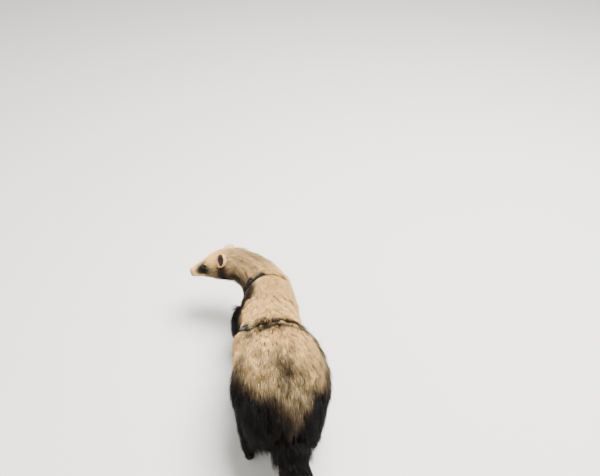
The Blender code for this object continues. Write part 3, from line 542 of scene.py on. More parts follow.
def in_ear(points, side, room=1.0):
    """Whether each point lies within an ear's cup, or over its mouth."""
    rim, high = ear_local(points, side)
    deep = np.clip(-high / EAR_DEPTH, 0, 1)
    return (rim < room * np.sqrt(1 - deep**2)) & (np.abs(high) < EAR_DEPTH)


def make_head_skin(points):
    """The head's skin, sunk under the lids and in a shallow seat under each ear."""
    for side in HEAD_SIDES.values():
        x, y, out, ways = eye_local(points, side)
        near = smooth_step(LID_REACH, LID_REACH - 0.35, almond(x, y)) * (out > 0)
        points = points - (LID_SINK * near)[..., None] * ways[2]
        rim, high = ear_local(points, side)
        sink = np.maximum(high - EAR_SEAT + EAR_DEPTH, 0) * smooth_step(1.12, 0.80, rim)
        sink = sink * (high > -2 * EAR_DEPTH)
        points = points - sink[..., None] * ear_axes(side)[2]
    return mesh_object("head_skin", *closed_rings(points, points[0].mean(0), points[-1].mean(0)))


def lid_shape(side, skin_points, around=128):
    """The lids as a closed ring, from a rounded margin on the eyeball out to the skin.

    Its section runs in from the skin over the lid, round the margin to the ball, and back
    underneath. Near the margin the height is that of a sphere just over the eyeball.
    """
    u = turns(around)
    tall = np.where(np.sin(u) > 0, LID_UPPER, LID_LOWER)
    edge = np.stack([LID_HALF * np.cos(u), tall * np.sin(u)], axis=-1)
    x, y, out, ways = eye_local(skin_points, side)
    shell = (out > -2 * MM) & (np.hypot(x, y) < 10 * MM) & (almond(x, y) > LID_REACH)
    x, y, out = x[shell], y[shell], out[shell]
    rim = edge * (LID_REACH + 0.06)
    gap = (x - rim[:, [0]]) ** 2 + (y - rim[:, [1]]) ** 2
    skin = out[gap.argsort(axis=1)[:, :5]].mean(axis=1)
    skin = sum(np.roll(skin, k) for k in range(-4, 5)) / 9
    # Scale of the opening and height over the lid in mm, from the skin to the inner face.
    profile = [(LID_REACH + 0.06, -0.5), (LID_REACH, -0.05)]
    profile += [(r, 0.0) for r in np.linspace(LID_REACH - 0.1, 1.12, 9)]
    profile += [(1.06, 0.05), (1.015, 0.04), (0.99, -0.06), (0.985, -0.25), (1.0, -0.6)]
    profile += [(1.2, -1.3), (1.5, -1.6)]
    r, lift = np.array(profile).T
    place = edge[None] * r[:, None, None]
    flat = np.hypot(place[..., 0], place[..., 1])
    sphere = np.sqrt(np.maximum((EYE_RADIUS + 0.5 * MM) ** 2 - flat**2, (1.5 * MM) ** 2))
    mix = smooth_step(1.02, LID_REACH, r)[:, None]
    fold = 0.22 * MM * bump(r, 1.36, 0.06)[:, None] * smooth_step(-0.2, 0.6, np.sin(u))
    high = sphere * (1 - mix) + skin * mix + lift[:, None] * MM - fold
    middle, _ = eye_place(side)
    rings = middle + place @ ways[:2] + high[..., None] * ways[2]
    return *wrapped_rings(rings), np.repeat(r, around)


def nose_shape(rings=48, sides=72):
    """The bare nose: an egg with a cleft, two nostrils that curl outwards and a pebbled skin."""
    left, up, ahead, _ = ball(rings, sides)
    size = 1 - 0.16 * bump(left, 0, 0.13) * smooth_step(-0.2, 0.5, ahead) * (up < 0.55)
    front = smooth_step(0.1, 0.5, ahead)
    for side in HEAD_SIDES.values():
        hole = ((left * side - 0.48) / 0.17) ** 2 + ((up + 0.08) / 0.16) ** 2
        slant = 0.25 * (left * side - 0.7)
        slit = ((left * side - 0.72) / 0.22) ** 2 + ((up + 0.12 - slant) / 0.075) ** 2
        size = size - (0.34 * np.exp(-(hole**2)) + 0.16 * np.exp(-(slit**2))) * front
        size = size + 0.07 * bump(np.sqrt(hole), 1.7, 0.45) * front
    size = size * (1 - 0.12 * smooth_step(0.1, -1, up))
    pebble = np.sin(left * 31 + 3 * np.sin(up * 17)) * np.sin(up * 29 + 2 * np.sin(ahead * 23))
    size = size + 0.012 * pebble
    place = on_head(
        3.0 * MM - ahead * size * 4.0 * MM,
        left * size * 5.3 * MM,
        0.9 * MM + up * size * 3.7 * MM,
    )
    poles = on_head(np.array((7.0, -1.0)) * MM, np.zeros(2), np.full(2, 0.9 * MM))
    return closed_rings(place, *poles)


def eye_shape(side, rings=40, sides=56):
    """An eyeball with a slightly steeper cornea: a sphere swollen by a bell round its axis."""
    middle, faced = eye_place(side)
    across = unit(np.cross(faced, (0, 0, 1)))
    *grid, lift = ball(rings, sides)
    swell = EYE_RADIUS * (1 + CORNEA_SWELL * bump(np.pi / 2 - lift, 0, 0.55))
    ways = np.array([across, np.cross(across, faced), faced])
    points = middle + (swell * np.array(grid)).transpose(1, 2, 0) @ ways
    front = middle + EYE_RADIUS * (1 + CORNEA_SWELL) * faced
    return closed_rings(points, middle - EYE_RADIUS * faced, front)


def ear_axes(side):
    """The ear cup's own axes as rows: along the head, up, and out of its mouth."""
    ahead, left, up = head_axes()
    mouth = unit(0.50 * ahead + 0.74 * side * left + 0.44 * up)
    rise = square_to(up, mouth)
    return np.array([np.cross(rise, mouth), rise, mouth])


def ear_grid(side, rings=64, sides=96):
    """Rings of an ear from its root up the outside, over the rim and down into the bowl.

    Gives them with each point's place along that way, the middle of the ear's mouth and the
    way it faces. Each ring is the mouth's oval, scaled and lifted along a profile: a bulging
    outer wall, a rolled rim and a hollow with a fold inside its back edge. The rim dips at the
    lower front, where a small flap stands before the opening, and flares at the back.
    """
    across, rise, mouth = ear_axes(side)
    middle = on_head(EAR_BACK, side * EAR_OUT, EAR_UP)
    turn = turns(sides)[None]
    t = np.linspace(0, 1, rings)[:, None]
    outer = np.clip(t / 0.45, 0, 1)
    rim = np.clip((t - 0.45) / 0.12, 0, 1)
    inner = np.clip((t - 0.57) / 0.43, 0, 1)
    wide = np.sin(outer * np.pi / 2) ** 0.8 - 0.07 * np.sin(rim * np.pi / 2) * 1.3
    wide = wide * (1 - 0.90 * smooth_step(0.05, 1.0, inner))
    high = -EAR_DEPTH * np.cos(outer * np.pi / 2) + 0.9 * MM * np.sin(rim * np.pi)
    high = high - 0.85 * EAR_DEPTH * smooth_step(0.0, 0.75, inner)
    ahead = np.cos(turn) * np.sign(across @ head_axes()[0])
    lift = 0.7 * MM * smooth_step(-0.2, 1.0, np.sin(turn)) * (EAR_TALL[side][0] > 0.9)
    lift = lift + 0.4 * MM * smooth_step(0.0, 1.0, -ahead)
    dip = 1.0 * MM * bump(ahead, 0.75, 0.35) * smooth_step(0.2, -0.6, np.sin(turn))
    fading = 1 - 0.8 * smooth_step(0, 0.6, inner)
    high = high + (lift - dip) * smooth_step(0.5, 1.0, outer) * fading
    fold = 1.0 * MM * bump(inner, 0.35, 0.12) * smooth_step(-0.1, 0.8, np.sin(turn + 0.5))
    high = high + fold
    tall = np.where(np.sin(turn) > 0, *EAR_TALL[side])
    points = middle + (EAR_RADIUS[0] * wide * np.cos(turn))[..., None] * across
    points = points + (EAR_RADIUS[1] * wide * np.sin(turn) * tall)[..., None] * rise
    points = points + high[..., None] * mouth
    return points, t * np.ones_like(turn), middle, mouth


def loop_route(name, count):
    """A strap's way round the body: its place along the back, its angle and its depth."""
    place, lean, pull, sink = STRAPS[name]
    turn = turns(count)
    drawn = pull[0] * bump(np.degrees(turn), *pull[1:])
    return place - lean * np.cos(turn) + drawn, turn, np.full(count, sink)


def belly_route(count):
    """The way of the strap under the chest, from the girth strap to the collar."""
    ends = [np.interp(1.5 * np.pi, *loop_route(name, 40)[1::-1]) for name in STRAPS]
    places = np.linspace(ends[0] + BELLY_INSET, ends[1] - BELLY_INSET, count)
    sinks = np.linspace(*(STRAPS[name][3] for name in STRAPS), count) + BELLY_SINK
    return places, np.full(count, 1.5 * np.pi), sinks


def strap_routes():
    """The way of each strap by name, and whether it closes on itself."""
    routes = {name: (loop_route(name, 160), True) for name in STRAPS}
    return routes | {"harness_belly": (belly_route(60), False)}


def strap_line(route, closed):
    """The line under the middle of a strap, the ways out of the body and over the strap."""
    count = 240
    rows = smooth_rows([row[:6] for row in TRUNK], count) * MM
    _, side, up = frames(rows[:, :3])
    places, turn, sinks = route
    at = np.clip(places * (count - 1), 0, count - 1.1)
    near = at.astype(int)
    share = (at - near)[:, None]
    row = rows[near] * (1 - share) + rows[near + 1] * share
    out, rise = section(turn, row[:, 3], row[:, 4], row[:, 5])
    radial = out[:, None] * (side[near] * (1 - share) + side[near + 1] * share)
    radial = radial + rise[:, None] * (up[near] * (1 - share) + up[near + 1] * share)
    outward_way = unit(radial)
    line = row[:, :3] + radial - outward_way * sinks[:, None]
    step = np.roll(line, -1, axis=0) - np.roll(line, 1, axis=0)
    step = step if closed else np.gradient(line, axis=0)
    return line, outward_way, unit(np.cross(outward_way, unit(step)))


def make_webbing(name, route, closed):
    """A strap as a band with rounded edges, its UV in metres along it and across it.

    The section is a flat oval, |x|^5 + |y|^5 = 1, stretched to the strap's width and half
    its thickness, and its top and bottom carry a raised selvedge along each edge.
    """
    line, out, over = strap_line(route, closed)
    x, y = section(turns(STRAP_SIDES)[None], 1.0, 1.0, 1.0, power=5)
    groove = SELVEDGE * smooth_step(0.62, 0.78, np.abs(x)) * smooth_step(1.0, 0.9, np.abs(x))
    rise = STRAP_THICK / 2 * (1 + y * 0.92 * (1 - groove))
    rings = line[:, None] + rise[..., None] * out[:, None]
    rings = rings + (x * STRAP_WIDTH / 2)[..., None] * over[:, None]
    if closed:
        points, faces = wrapped_rings(rings)
    else:
        ends = rings.mean(axis=1)
        points, faces = closed_rings(rings, ends[0], ends[-1])
    obj = mesh_object(name, points, faces)
    steps = np.linalg.norm(np.diff(line, axis=0, append=line[:1]), axis=1)
    travel = np.concatenate([[0], np.cumsum(steps)])
    u = np.repeat(travel[: len(line)], STRAP_SIDES)
    v = np.tile((x * STRAP_WIDTH / 2 + 2 * STRAP_WIDTH * (y < 0))[0], len(line))
    ends = np.zeros(len(points) - len(u))
    u, v = (np.append(value, ends)[faces] for value in (u, v))
    u = u + travel[-1] * ((u.max(axis=1, keepdims=True) - u > travel[-1] / 2) & closed)
    set_uv(obj, "weave", np.stack([u, v], axis=-1))
    return obj


def ring_place():
    """The middle of the ring and its axes as rows: along the strap, up from its plane and back."""
    line, out, over = strap_line(loop_route("harness_girth", 360), True)
    out, over = out[RING_ANGLE], over[RING_ANGLE]
    over = square_to(over, out)
    lean = np.radians(RING_LEAN)
    back = np.cos(lean) * out + np.sin(lean) * over
    above = np.sin(lean) * out - np.cos(lean) * over
    foot = line[RING_ANGLE] + out * (STRAP_THICK + RING_WIRE + 0.3 * MM)
    return foot + back * RING_RADIUS, np.array([np.cross(above, back), above, back])


def mixed(cells, seed):
    """Three even random numbers for each row of whole numbers, by mixing their bits."""
    h = cells[..., 0] * 73856093 ^ cells[..., 1] * 19349663 ^ cells[..., 2] * 83492791
    h = (h ^ (seed * 2654435761)) & 0xFFFFFFFF
    parts = []
    for step in (2246822519, 3266489917, 668265263):
        h = ((h ^ (h >> 15)) * step) & 0xFFFFFFFF
        parts.append((h ^ (h >> 13)) & 0xFFFF)
    return np.stack(parts, axis=-1) / 65536.0


def soft_noise(points, seed):
    """Smooth noise from 0 to 1 that changes over one unit: corner values mixed trilinearly."""
    cell = np.floor(points).astype(np.int64)
    t = points - cell
    t = t * t * (3 - 2 * t)
    total = np.zeros(len(points))
    for corner in np.ndindex(2, 2, 2):
        weight = np.prod(np.where(np.array(corner) == 1, t, 1 - t), axis=-1)
        total += weight * mixed(cell + corner, seed)[..., 0]
    return total


def clumps(points, size, seed):
    """The middle of the lock that each point belongs to, and three random numbers for it.

    Space is cut into cells with one middle thrown into each; a point takes the nearest one.
    """
    cell = np.floor(points / size).astype(np.int64)
    best = np.full(len(points), np.inf)
    middle, chance = np.zeros((len(points), 3)), np.zeros((len(points), 3))
    for offset in np.ndindex(3, 3, 3):
        near = cell + np.array(offset) - 1
        thrown = mixed(near, seed)
        centre = (near + thrown) * size
        gap = ((centre - points) ** 2).sum(-1)
        closer = gap < best
        best = np.where(closer, gap, best)
        middle[closer], chance[closer] = centre[closer], mixed(near, seed + 5)[closer]
    return middle, chance


# How the coat is marked along the back: mm from the rump, the angles at which the pale part
# ends on the right and on the left (from the right, over the top), how pale it is and how
# dark the sides are, from 0, black, to 1, cream.
BACK_MARKS = np.array(
    [
        (-20, 50, 84, 0.20, 0.03),
        (-8, 46, 100, 0.34, 0.03),
        (2, 40, 112, 0.52, 0.04),
        (12, 32, 132, 0.57, 0.05),
        (24, 19, 152, 0.62, 0.07),
        (38, 13, 160, 0.72, 0.09),
        (52, 14, 164, 0.83, 0.12),
        (66, 20, 172, 0.94, 0.20),
        (80, 34, 182, 0.88, 0.24),
        (95, 34, 192, 0.84, 0.22),
        (105, 24, 186, 0.84, 0.20),
        (118, 4, 180, 0.94, 0.20),
        (130, -4, 166, 0.96, 0.20),
        (150, -6, 158, 0.97, 0.18),
        (168, -4, 156, 0.96, 0.14),
        (180, -3, 140, 0.95, 0.20),
        (192, -2, 120, 0.94, 0.30),
        (215, 0, 120, 0.93, 0.34),
        (230, 0, 134, 0.92, 0.38),
        (245, -4, 150, 0.82, 0.48),
        (262, -8, 166, 0.70, 0.48),
        (284, -10, 176, 0.68, 0.42),
    ]
)


def marks_on(name, along, turn):
    """How pale a limb's coat is, from the distance along it in mm and the angle round it.

    The back is pale between the angles of BACK_MARKS and dark beside them, with an edge 16 to
    22 degrees soft, a paler belly and painted shade along a parting of the coat over the hips.
    The tail and the legs are dark and grow paler towards the body.
    """
    if name == "trunk":
        right, left, pale, dark = (np.interp(along, BACK_MARKS[:, 0], c) for c in BACK_MARKS.T[1:])
        middle = (right + left) / 2
        away = np.abs((np.degrees(turn) - middle + 180) % 360 - 180)
        soft = np.interp(along, (100, 140), (22, 16))
        side = smooth_step(-soft, soft, away - (left - right) / 2)
        belly = 0.16 * smooth_step(135, 165, away)
        # Painted shade where the coat parts over the hips.
        parting = 0.28 * bump(np.degrees(turn), 79, 6) * bump(along, 29, 14)
        parting += 0.13 * bump(np.degrees(turn), 86, 16) * bump(along, 38, 18)
        return pale + (dark - pale) * side + belly - parting
    if name == "tail":
        top = 0.26 * smooth_step(-0.2, 0.9, np.cos(turn - 1.0)) * smooth_step(10, -6, along)
        return 0.10 + top
    return 0.07 + 0.04 * smooth_step(20, 0, along)


# How far the coat's lie turns down or back from the way of each kind of limb.
LIE = {"trunk": (0, 0, 0.30), "tail": (0, 0, 0), "fore": (0, 0.25, 0), "hind": (0, 0.45, 0)}


def places_on(points, limbs):
    """Where each point lies on the limbs, as arrays.

    Each limb's ratio is the distance from its middle line over its own half width that way.
    Ways, marks and depths are mixed by exp(-9 ratio), and the nearest limb gives the rest.
    """
    count = len(points)
    found = {key: np.zeros(count) for key in ("mark", "depth", "weight", "at", "turn", "high")}
    found["way"] = np.zeros((count, 3))
    found["limb"] = np.zeros(count, int)
    best = np.full(count, np.inf)
    for number, (name, path) in enumerate(limbs.items()):
        centres = path["centres"]
        gap = (centres**2).sum(-1) - 2 * points @ centres.T
        k = gap.argmin(axis=1)
        off = points - centres[k]
        x, y = (off * path["side"][k]).sum(-1), (off * path["up"][k]).sum(-1)
        turn = np.arctan2(y, x)
        halves = path["halves"][k] - path["inset"][k, None]
        out, rise = section(turn, *halves.T)
        wide = np.hypot(out, rise)
        far = np.linalg.norm(off, axis=-1)
        ratio = far / wide
        weight = np.exp(-9 * ratio)
        along = path["at"][k] + (off * path["along"][k]).sum(-1)
        way = path["along"][k] * (-1 if name == "trunk" else 1) - LIE[name.split("_")[0]]
        found["way"] += weight[:, None] * way
        found["mark"] += weight * marks_on(name, along / MM, turn)
        found["depth"] += weight * path["depth"][k]
        found["weight"] += weight
        closer = ratio < best
        best = np.where(closer, ratio, best)
        for key, value in (("at", along), ("turn", turn), ("high", far - wide)):
            found[key][closer] = value[closer]
        found["limb"][closer] = number
    found["way"] /= found["weight"][:, None]
    found["mark"] /= found["weight"]
    found["depth"] /= found["weight"]
    return found


def shade_of(points, place):
    """The paleness of the coat with streaks 30 mm long and 5 mm wide and patches of 16 mm.

    Both are strongest where the coat is half pale, and weaker on the neck, tail and legs.
    """
    round_it = np.stack([np.cos(place["turn"]), np.sin(place["turn"])], -1) * (30 * MM)
    lines = np.column_stack([place["at"], round_it])
    streak = soft_noise(lines / (np.array((30, 5, 5)) * MM) + 50, 3) - 0.5
    patch = soft_noise(points / (16 * MM) + 50, 9) - 0.5
    room = np.clip(4 * place["mark"] * (1.15 - place["mark"]), 0.15, 1)
    calm = np.interp(place["at"] / MM, (95, 125), (1, 0.5))
    room = room * np.where(place["limb"] == 0, calm, 0.3)
    return np.clip(place["mark"] + (0.44 * streak + 0.36 * patch) * room, 0.02, 1)


MAP_STRIP = 0.15  # the width of each limb's strip on the unwrapped skin, edge included
MAP_EDGE = 0.01
MAP_SPAN = (-30 * MM, 340 * MM)  # the place along a limb where its strip starts, and its length


def unwrapped(place):
    """Places on the skin unrolled flat, in a strip for each limb: angle across, length up."""
    u = (place["turn"] / (2 * np.pi) + 0.5) * (MAP_STRIP - MAP_EDGE) + MAP_EDGE
    v = 0.02 + 0.94 * np.clip((place["at"] - MAP_SPAN[0]) / MAP_SPAN[1], 0, 1)
    return np.column_stack([u + MAP_STRIP * place["limb"], v])


def scatter(skin, density, count, random):
    """Roots spread over a skin's triangles, by area times density: their places and normals."""
    points, normals, triangles = skin
    a, b, c = (points[triangles[:, k]] for k in range(3))
    area = np.linalg.norm(np.cross(b - a, c - a), axis=-1) * density[triangles].mean(axis=1)
    total = np.cumsum(area)
    pick = (np.arange(count) + random.uniform(0, 1, count)) / count * total[-1]
    chosen = np.minimum(np.searchsorted(total, pick), len(triangles) - 1)
    u, v = random.uniform(0, 1, (2, count))
    over = u + v > 1
    u, v = np.where(over, 1 - u, u)[:, None], np.where(over, 1 - v, v)[:, None]
    corner = triangles[chosen]
    weights = (1 - u - v, u, v)
    root = sum(w * points[corner[:, k]] for k, w in enumerate(weights))
    normal = unit(sum(w * normals[corner[:, k]] for k, w in enumerate(weights)))
    return root, normal


TUFT_FATNESS = {1: (1.0,), 2: (0.85, 0.85), 3: (0.75, 1.0, 0.62)}  # of its width, by ring
TUFT_RIDGE = 0.55  # the height of its third corner, of half its width
TUFT_ROLL = 0.6  # radians that it may be turned about its own line
# Painted shade lies over each tuft's root end, where the coat shades itself.
TUFT_ROOT_SHADE = 0.55  # of its length: how far up the darker shade of its root reaches
TUFT_PATCH = 0.003  # its length on the unwrapped skin, of the whole map's


def tufts(name, root, normal, way, look, rings, seed):
    """One closed mesh of tapered three-sided tufts that leave the skin along their lie.

    A tuft's spine is root + way * long * t + normal * rise * (1 - (1 - t)^2), bent sideways by
    sway * t^2 and sunk by drop * t^2. look holds long, wide, rise, sway, drop, shade, tint
    (what is added to the shade at the tip), under (painted shade taken off it at the root, where
    the coat shades itself) and flat, the root's place on the unwrapped skin.
    """
    random = np.random.default_rng(seed)
    count = len(root)
    way = square_to(way, normal)
    across = np.cross(way, normal)
    t = np.linspace(0, 1, rings + 1)[None, :, None]
    long, wide, rise, sway, drop = (
        look[key][:, None, None] for key in ("long", "wide", "rise", "sway", "drop")
    )
    spine = root[:, None] - ROOT_SINK * normal[:, None] + way[:, None] * long * t
    spine = spine + normal[:, None] * (rise * (1 - (1 - t) ** 2) - drop * t**2)
    spine = spine + across[:, None] * sway * t**2
    spine[..., 2] = np.maximum(spine[..., 2], FLOOR_GAP)
    body = spine[:, :rings]
    along = unit(np.gradient(spine, axis=1))[:, :rings]
    up = square_to(normal[:, None], along)
    side = np.cross(along, up)
    turn = random.uniform(-TUFT_ROLL, TUFT_ROLL, (count, 1, 1))
    side, up = side * np.cos(turn) + up * np.sin(turn), up * np.cos(turn) - side * np.sin(turn)
    half = wide / 2 * np.array(TUFT_FATNESS[rings])[None, :, None]
    ridge = half * TUFT_RIDGE
    ring = np.stack([body - side * half, body + side * half, body + up * ridge], axis=2)
    points = np.concatenate([ring.reshape(count, -1, 3), spine[:, rings:]], axis=1)
    each = 3 * rings + 1
    faces = [(0, 1, 2)]
    for j in range(rings - 1):
        for k in range(3):
            a, b = 3 * j + k, 3 * j + (k + 1) % 3
            faces += [(a, b + 3, b), (a, a + 3, b + 3)]
    last = 3 * (rings - 1)
    faces += [(last + k, each - 1, last + (k + 1) % 3) for k in range(3)]
    faces = (np.array(faces)[None] + each * np.arange(count)[:, None, None]).reshape(-1, 3)
    points = points.reshape(-1, 3)
    obj = mesh_object(name, points, outward(points, faces))
    level = np.append(np.repeat(np.linspace(0, 1, rings + 1)[:rings], 3), 1.0)[None]
    shade = look["shade"][:, None] + look["tint"][:, None] * level
    # Painted shade: towards each tuft's root its shade is lowered by under.
    shade = shade - look["under"] * (1 - smooth_step(0, TUFT_ROOT_SHADE, level))
    set_attribute(obj, "shade", np.clip(shade, 0, 1).ravel())
    set_attribute(obj, "vary", np.repeat(random.uniform(0, 1, count), each))
    flat = np.stack([np.tile((-0.5, 0.5, 0.0), rings), level[0, :-1] - 0.5], axis=-1)
    flat = np.vstack([flat, (0.0, 0.5)]) * TUFT_PATCH
    spread = (look["flat"][:, None] + flat[None]).reshape(-1, 2)
    corners = np.empty(len(obj.data.loops), np.int32)
    obj.data.loops.foreach_get("vertex_index", corners)
    set_uv(obj, "OFBake", spread[corners])
    return obj


BARE_FROM = 0.1  # of a strap's width: where less of it shows, it counts as under the coat


def bare_share(strap, angle):
    """How much of a strap's width shows at an angle round the body: 1 all of it, 0 none."""
    if strap == "harness_girth":
        left = smooth_step(26, 12, np.abs(angle - 136))
        left = np.maximum(left, 0.5 * smooth_step(138, 150, angle) * smooth_step(330, 300, angle))
        right = smooth_step(50, 25, np.abs((angle - 355 + 180) % 360 - 180))
        return np.maximum(0.85 * left, 0.4 * right) + 0.15 * bump(angle, 76, 12)
    if strap == "harness_collar":
        hidden = 0.14 * smooth_step(95, 108, angle) * smooth_step(290, 200, angle)
        return np.maximum(0.45 * bump(angle, 106, 6), hidden)
    return np.full(len(angle), 0.2)


def strap_reach(root, route, closed):
    """How far each root is from a strap's middle line, how far ahead, and its angle round."""
    line, _, over = strap_line(route, closed)
    gap = (line**2).sum(-1) - 2 * root @ line.T
    k = gap.argmin(axis=1)
    off = root - line[k]
    return np.linalg.norm(off, axis=-1), -(off * over[k]).sum(-1), np.degrees(route[1][k])


def coat_sizes(place):
    """Tufts 20 to 27 mm long over the rump and 10 to 16 ahead of the girth, and their widths."""
    s = place["at"] / MM
    trunk = np.interp(s, (-15, 20, 70, 100, 125, 200, 240, 285), (26, 25, 26, 20, 16, 14, 12, 9.5))
    tail = np.interp(s, (0, 30, 100, 135), (22, 24, 21, 14))
    leg = np.interp(s, (0, 25, 45, 70), (15, 12, 7, 4.5))
    long = np.select([place["limb"] == 0, place["limb"] == 1], [trunk, tail], leg)
    wide = np.interp(long, (5, 10, 13, 15, 25), (0.28, 0.32, 0.38, 0.48, 0.66))
    return long * MM, wide * MM


def parted_by_straps(root, random):
    """How the straps part the coat, for each root.

    Gives which roots stay, because none grow under a strap; how far a tuft may reach, from the
    root over the part of the strap that is hidden; and, from 0 to 1, how near the root lies
    behind a strap, and how near it lies ahead of one that the coat covers.
    """
    keep, reach = np.full(len(root), True), np.full(len(root), 1.0)
    behind, before = np.zeros(len(root)), np.zeros(len(root))
    half = STRAP_WIDTH / 2
    rear, front = STRAP_EDGES[0] - half, half - STRAP_EDGES[1]
    for strap, (route, closed) in strap_routes().items():
        far, ahead, angle = strap_reach(root, route, closed)
        keep &= ~((far < STRAP_NEAR) & (ahead < front) & (ahead > rear))
        bare = bare_share(strap, angle)
        over = (1 - bare) * STRAP_WIDTH * random.uniform(0.7, 1.2, len(root))
        allowed = np.maximum(ahead - half, 0) + over
        near = (ahead > 0) & (far < OVERLAP) & (bare > BARE_FROM)
        reach = np.where(near, np.minimum(reach, allowed), reach)
        behind = np.maximum(behind, (far < 11 * MM) * (ahead < 0) * smooth_step(9, 3, far / MM))
        cover = (ahead > 0) * (bare <= BARE_FROM) * smooth_step(13, 8, far / MM)
        before = np.maximum(before, cover)
    return keep, reach, behind, before


def throat_fullness(place):
    """How much further the coat stands out under the throat and at the neck's sides."""
    angle = np.degrees(place["turn"])
    full = smooth_step(150, 185, angle % 360) * (angle > 0)
    full = full + smooth_step(290, 250, angle % 360) * (angle < 0)
    return 3.0 * MM * full * smooth_step(222, 245, place["at"] / MM) * (place["limb"] == 0)


def strap_shade_locks(seen, chance):
    """Which locks over the girth strap carry painted shade on their tips, 0 to 1: those over the
    back.
    """
    at = seen["at"] / MM
    zone = smooth_step(80, 90, at) * smooth_step(128, 114, at) * (seen["limb"] == 0)
    return zone * (chance > 0.35) * smooth_step(122, 112, np.degrees(seen["turn"]))


def leaned(way, normal, chance, by_lock, alone, random):
    """Ways laid square to the normal and turned on the skin, by their lock and each alone."""
    way = square_to(way, normal)
    lean = (chance[:, [0]] - 0.5) * by_lock + random.uniform(-alone, alone, (len(way), 1))
    return unit(way + np.cross(way, normal) * lean)


def drawn_in(root, across, middle, pull, most):
    """How far each tip is bent sideways towards the middle of its lock."""
    return np.clip(((middle - root) * across).sum(-1) * pull, -most, most)


def body_coat(name, skin, limbs, density, count, rings, seed, lock):
    """Tufts over part of the body's skin, drawn together in locks of one size.

    A tuft's length and width come from its place, and its rise is the coat's depth there, less
    where its tip would run past the coat's outline. Roots under a strap or within the head are
    left out, and tufts ahead of a bare stretch of strap are kept short.
    """
    random = np.random.default_rng(seed)

    def even(low, high):
        return random.uniform(low, high, len(root))

    count = int(count * (1.0))
    root, normal = scatter(skin, density, count, random)
    keep, *parting = parted_by_straps(root, random)
    back, left, up = in_head(root)
    within_head = (back < 64 * MM) & (np.hypot(left, up) < 30 * MM)
    keep &= ~within_head & (root[:, 2] > LEG_LOWEST)
    root, normal, reach, behind, before = (value[keep] for value in (root, normal, *parting))
    place = places_on(root, limbs)
    middle, chance = clumps(root, lock, seed)
    way = leaned(place["way"], normal, chance, 0.45, 0.12, random)
    across = np.cross(way, normal)
    full, wide = coat_sizes(place)
    long = full * (0.85 + 0.35 * chance[:, 1]) * even(0.8, 1.12)
    long = np.maximum(np.minimum(long + 6 * MM * before, reach), 1.8 * MM)
    throat = throat_fullness(place)
    rise = place["depth"] * (0.84 + 0.40 * chance[:, 2]) * even(0.75, 1.15)
    rise = (rise + throat) * (1 + 0.4 * before)
    rise = rise * np.clip(long / full, 0, 1) ** 0.6
    pull = np.interp(full / MM, (12, 22), (0.25, 0.8))
    sway = drawn_in(root, across, middle, pull, 4 * MM)
    tip = root + way * long[:, None] + normal * rise[:, None] + across * sway[:, None]
    over = places_on(tip, limbs)["high"] - place["high"]
    over = over * smooth_step(-6 * MM, -2 * MM, place["high"])
    seen = places_on(root + 0.6 * way * long[:, None], limbs)
    # Painted shade where the strap presses into the coat, laid on the tips of the locks over it.
    dark = strap_shade_locks(seen, chance[:, 1])
    rough = smooth_step(14, 22, full / MM)
    dark_guard = (even(0, 1) < 0.16) * rough
    wide = wide * even(0.8, 1.2) * 1
    shade = shade_of(root, seen) + even(-0.05, 0.05)
    look = {
        "long": long,
        "wide": wide,
        "rise": rise,
        "sway": sway,
        "drop": np.clip(over - rise * (1 + 0.25 * behind) - throat, 0, 0.7 * long),
        "shade": shade - 0.12 * dark_guard - 0.08 * dark,
        "tint": 0.10 * (chance[:, 0] - 0.4) - 0.58 * dark,
        # Painted shade at the roots, deeper in the long, rough coat.
        "under": 0.08 + 0.10 * rough[:, None],
        "flat": unwrapped(place),
    }
    return tufts(name, root, normal, way, look, rings, seed)


def face_mark(back, left, up):
    """How pale the face is: white lips and brow, a dark mask round the eyes, a dark throat and
    painted shade on the cheeks and under the ears.
    """
    back, side, up = back / MM, np.abs(left) / MM, up / MM
    mark = 0.84 + 0.12 * bump(back, 36, 12) * smooth_step(6, 14, up)
    mark = mark + 0.14 * smooth_step(14, 7, back)
    mask = bump(np.hypot(back - 25.5, up - 4.6), 0, 7.5) * smooth_step(6, 10, side)
    front = bump(back, 17, 6) * bump(up, 2.5, 5.5) * smooth_step(3, 7, side)
    lip = smooth_step(-1.2, -3.6, up) * smooth_step(27, 21, back)
    core = bump(np.hypot((back - 24.5) / 1.2, up - 3.5), 0, 4.2) * smooth_step(6, 10, side)
    dark = np.clip(1.15 * mask + 0.7 * front, 0, 1) * 0.50 + 0.18 * core
    mark = mark - dark * (1 - lip) + 0.10 * lip
    # Painted shade on the cheek band behind the eye.
    band = bump(back, 38, 5.5) * smooth_step(10, 4, up) * smooth_step(-18, -10, up)
    mark = mark - 0.12 * band
    shadow = bump(back, 52, 8) * smooth_step(14, 0, up)
    shadow = np.maximum(shadow, 0.55 * smooth_step(44, 60, back) * smooth_step(4, -10, up))
    mark = mark - 0.50 * shadow
    throat = smooth_step(-10, -17, up) * smooth_step(50, 30, back)
    return np.clip(mark - 0.12 * throat - 0.10 * smooth_step(52, 72, back), 0.05, 1)


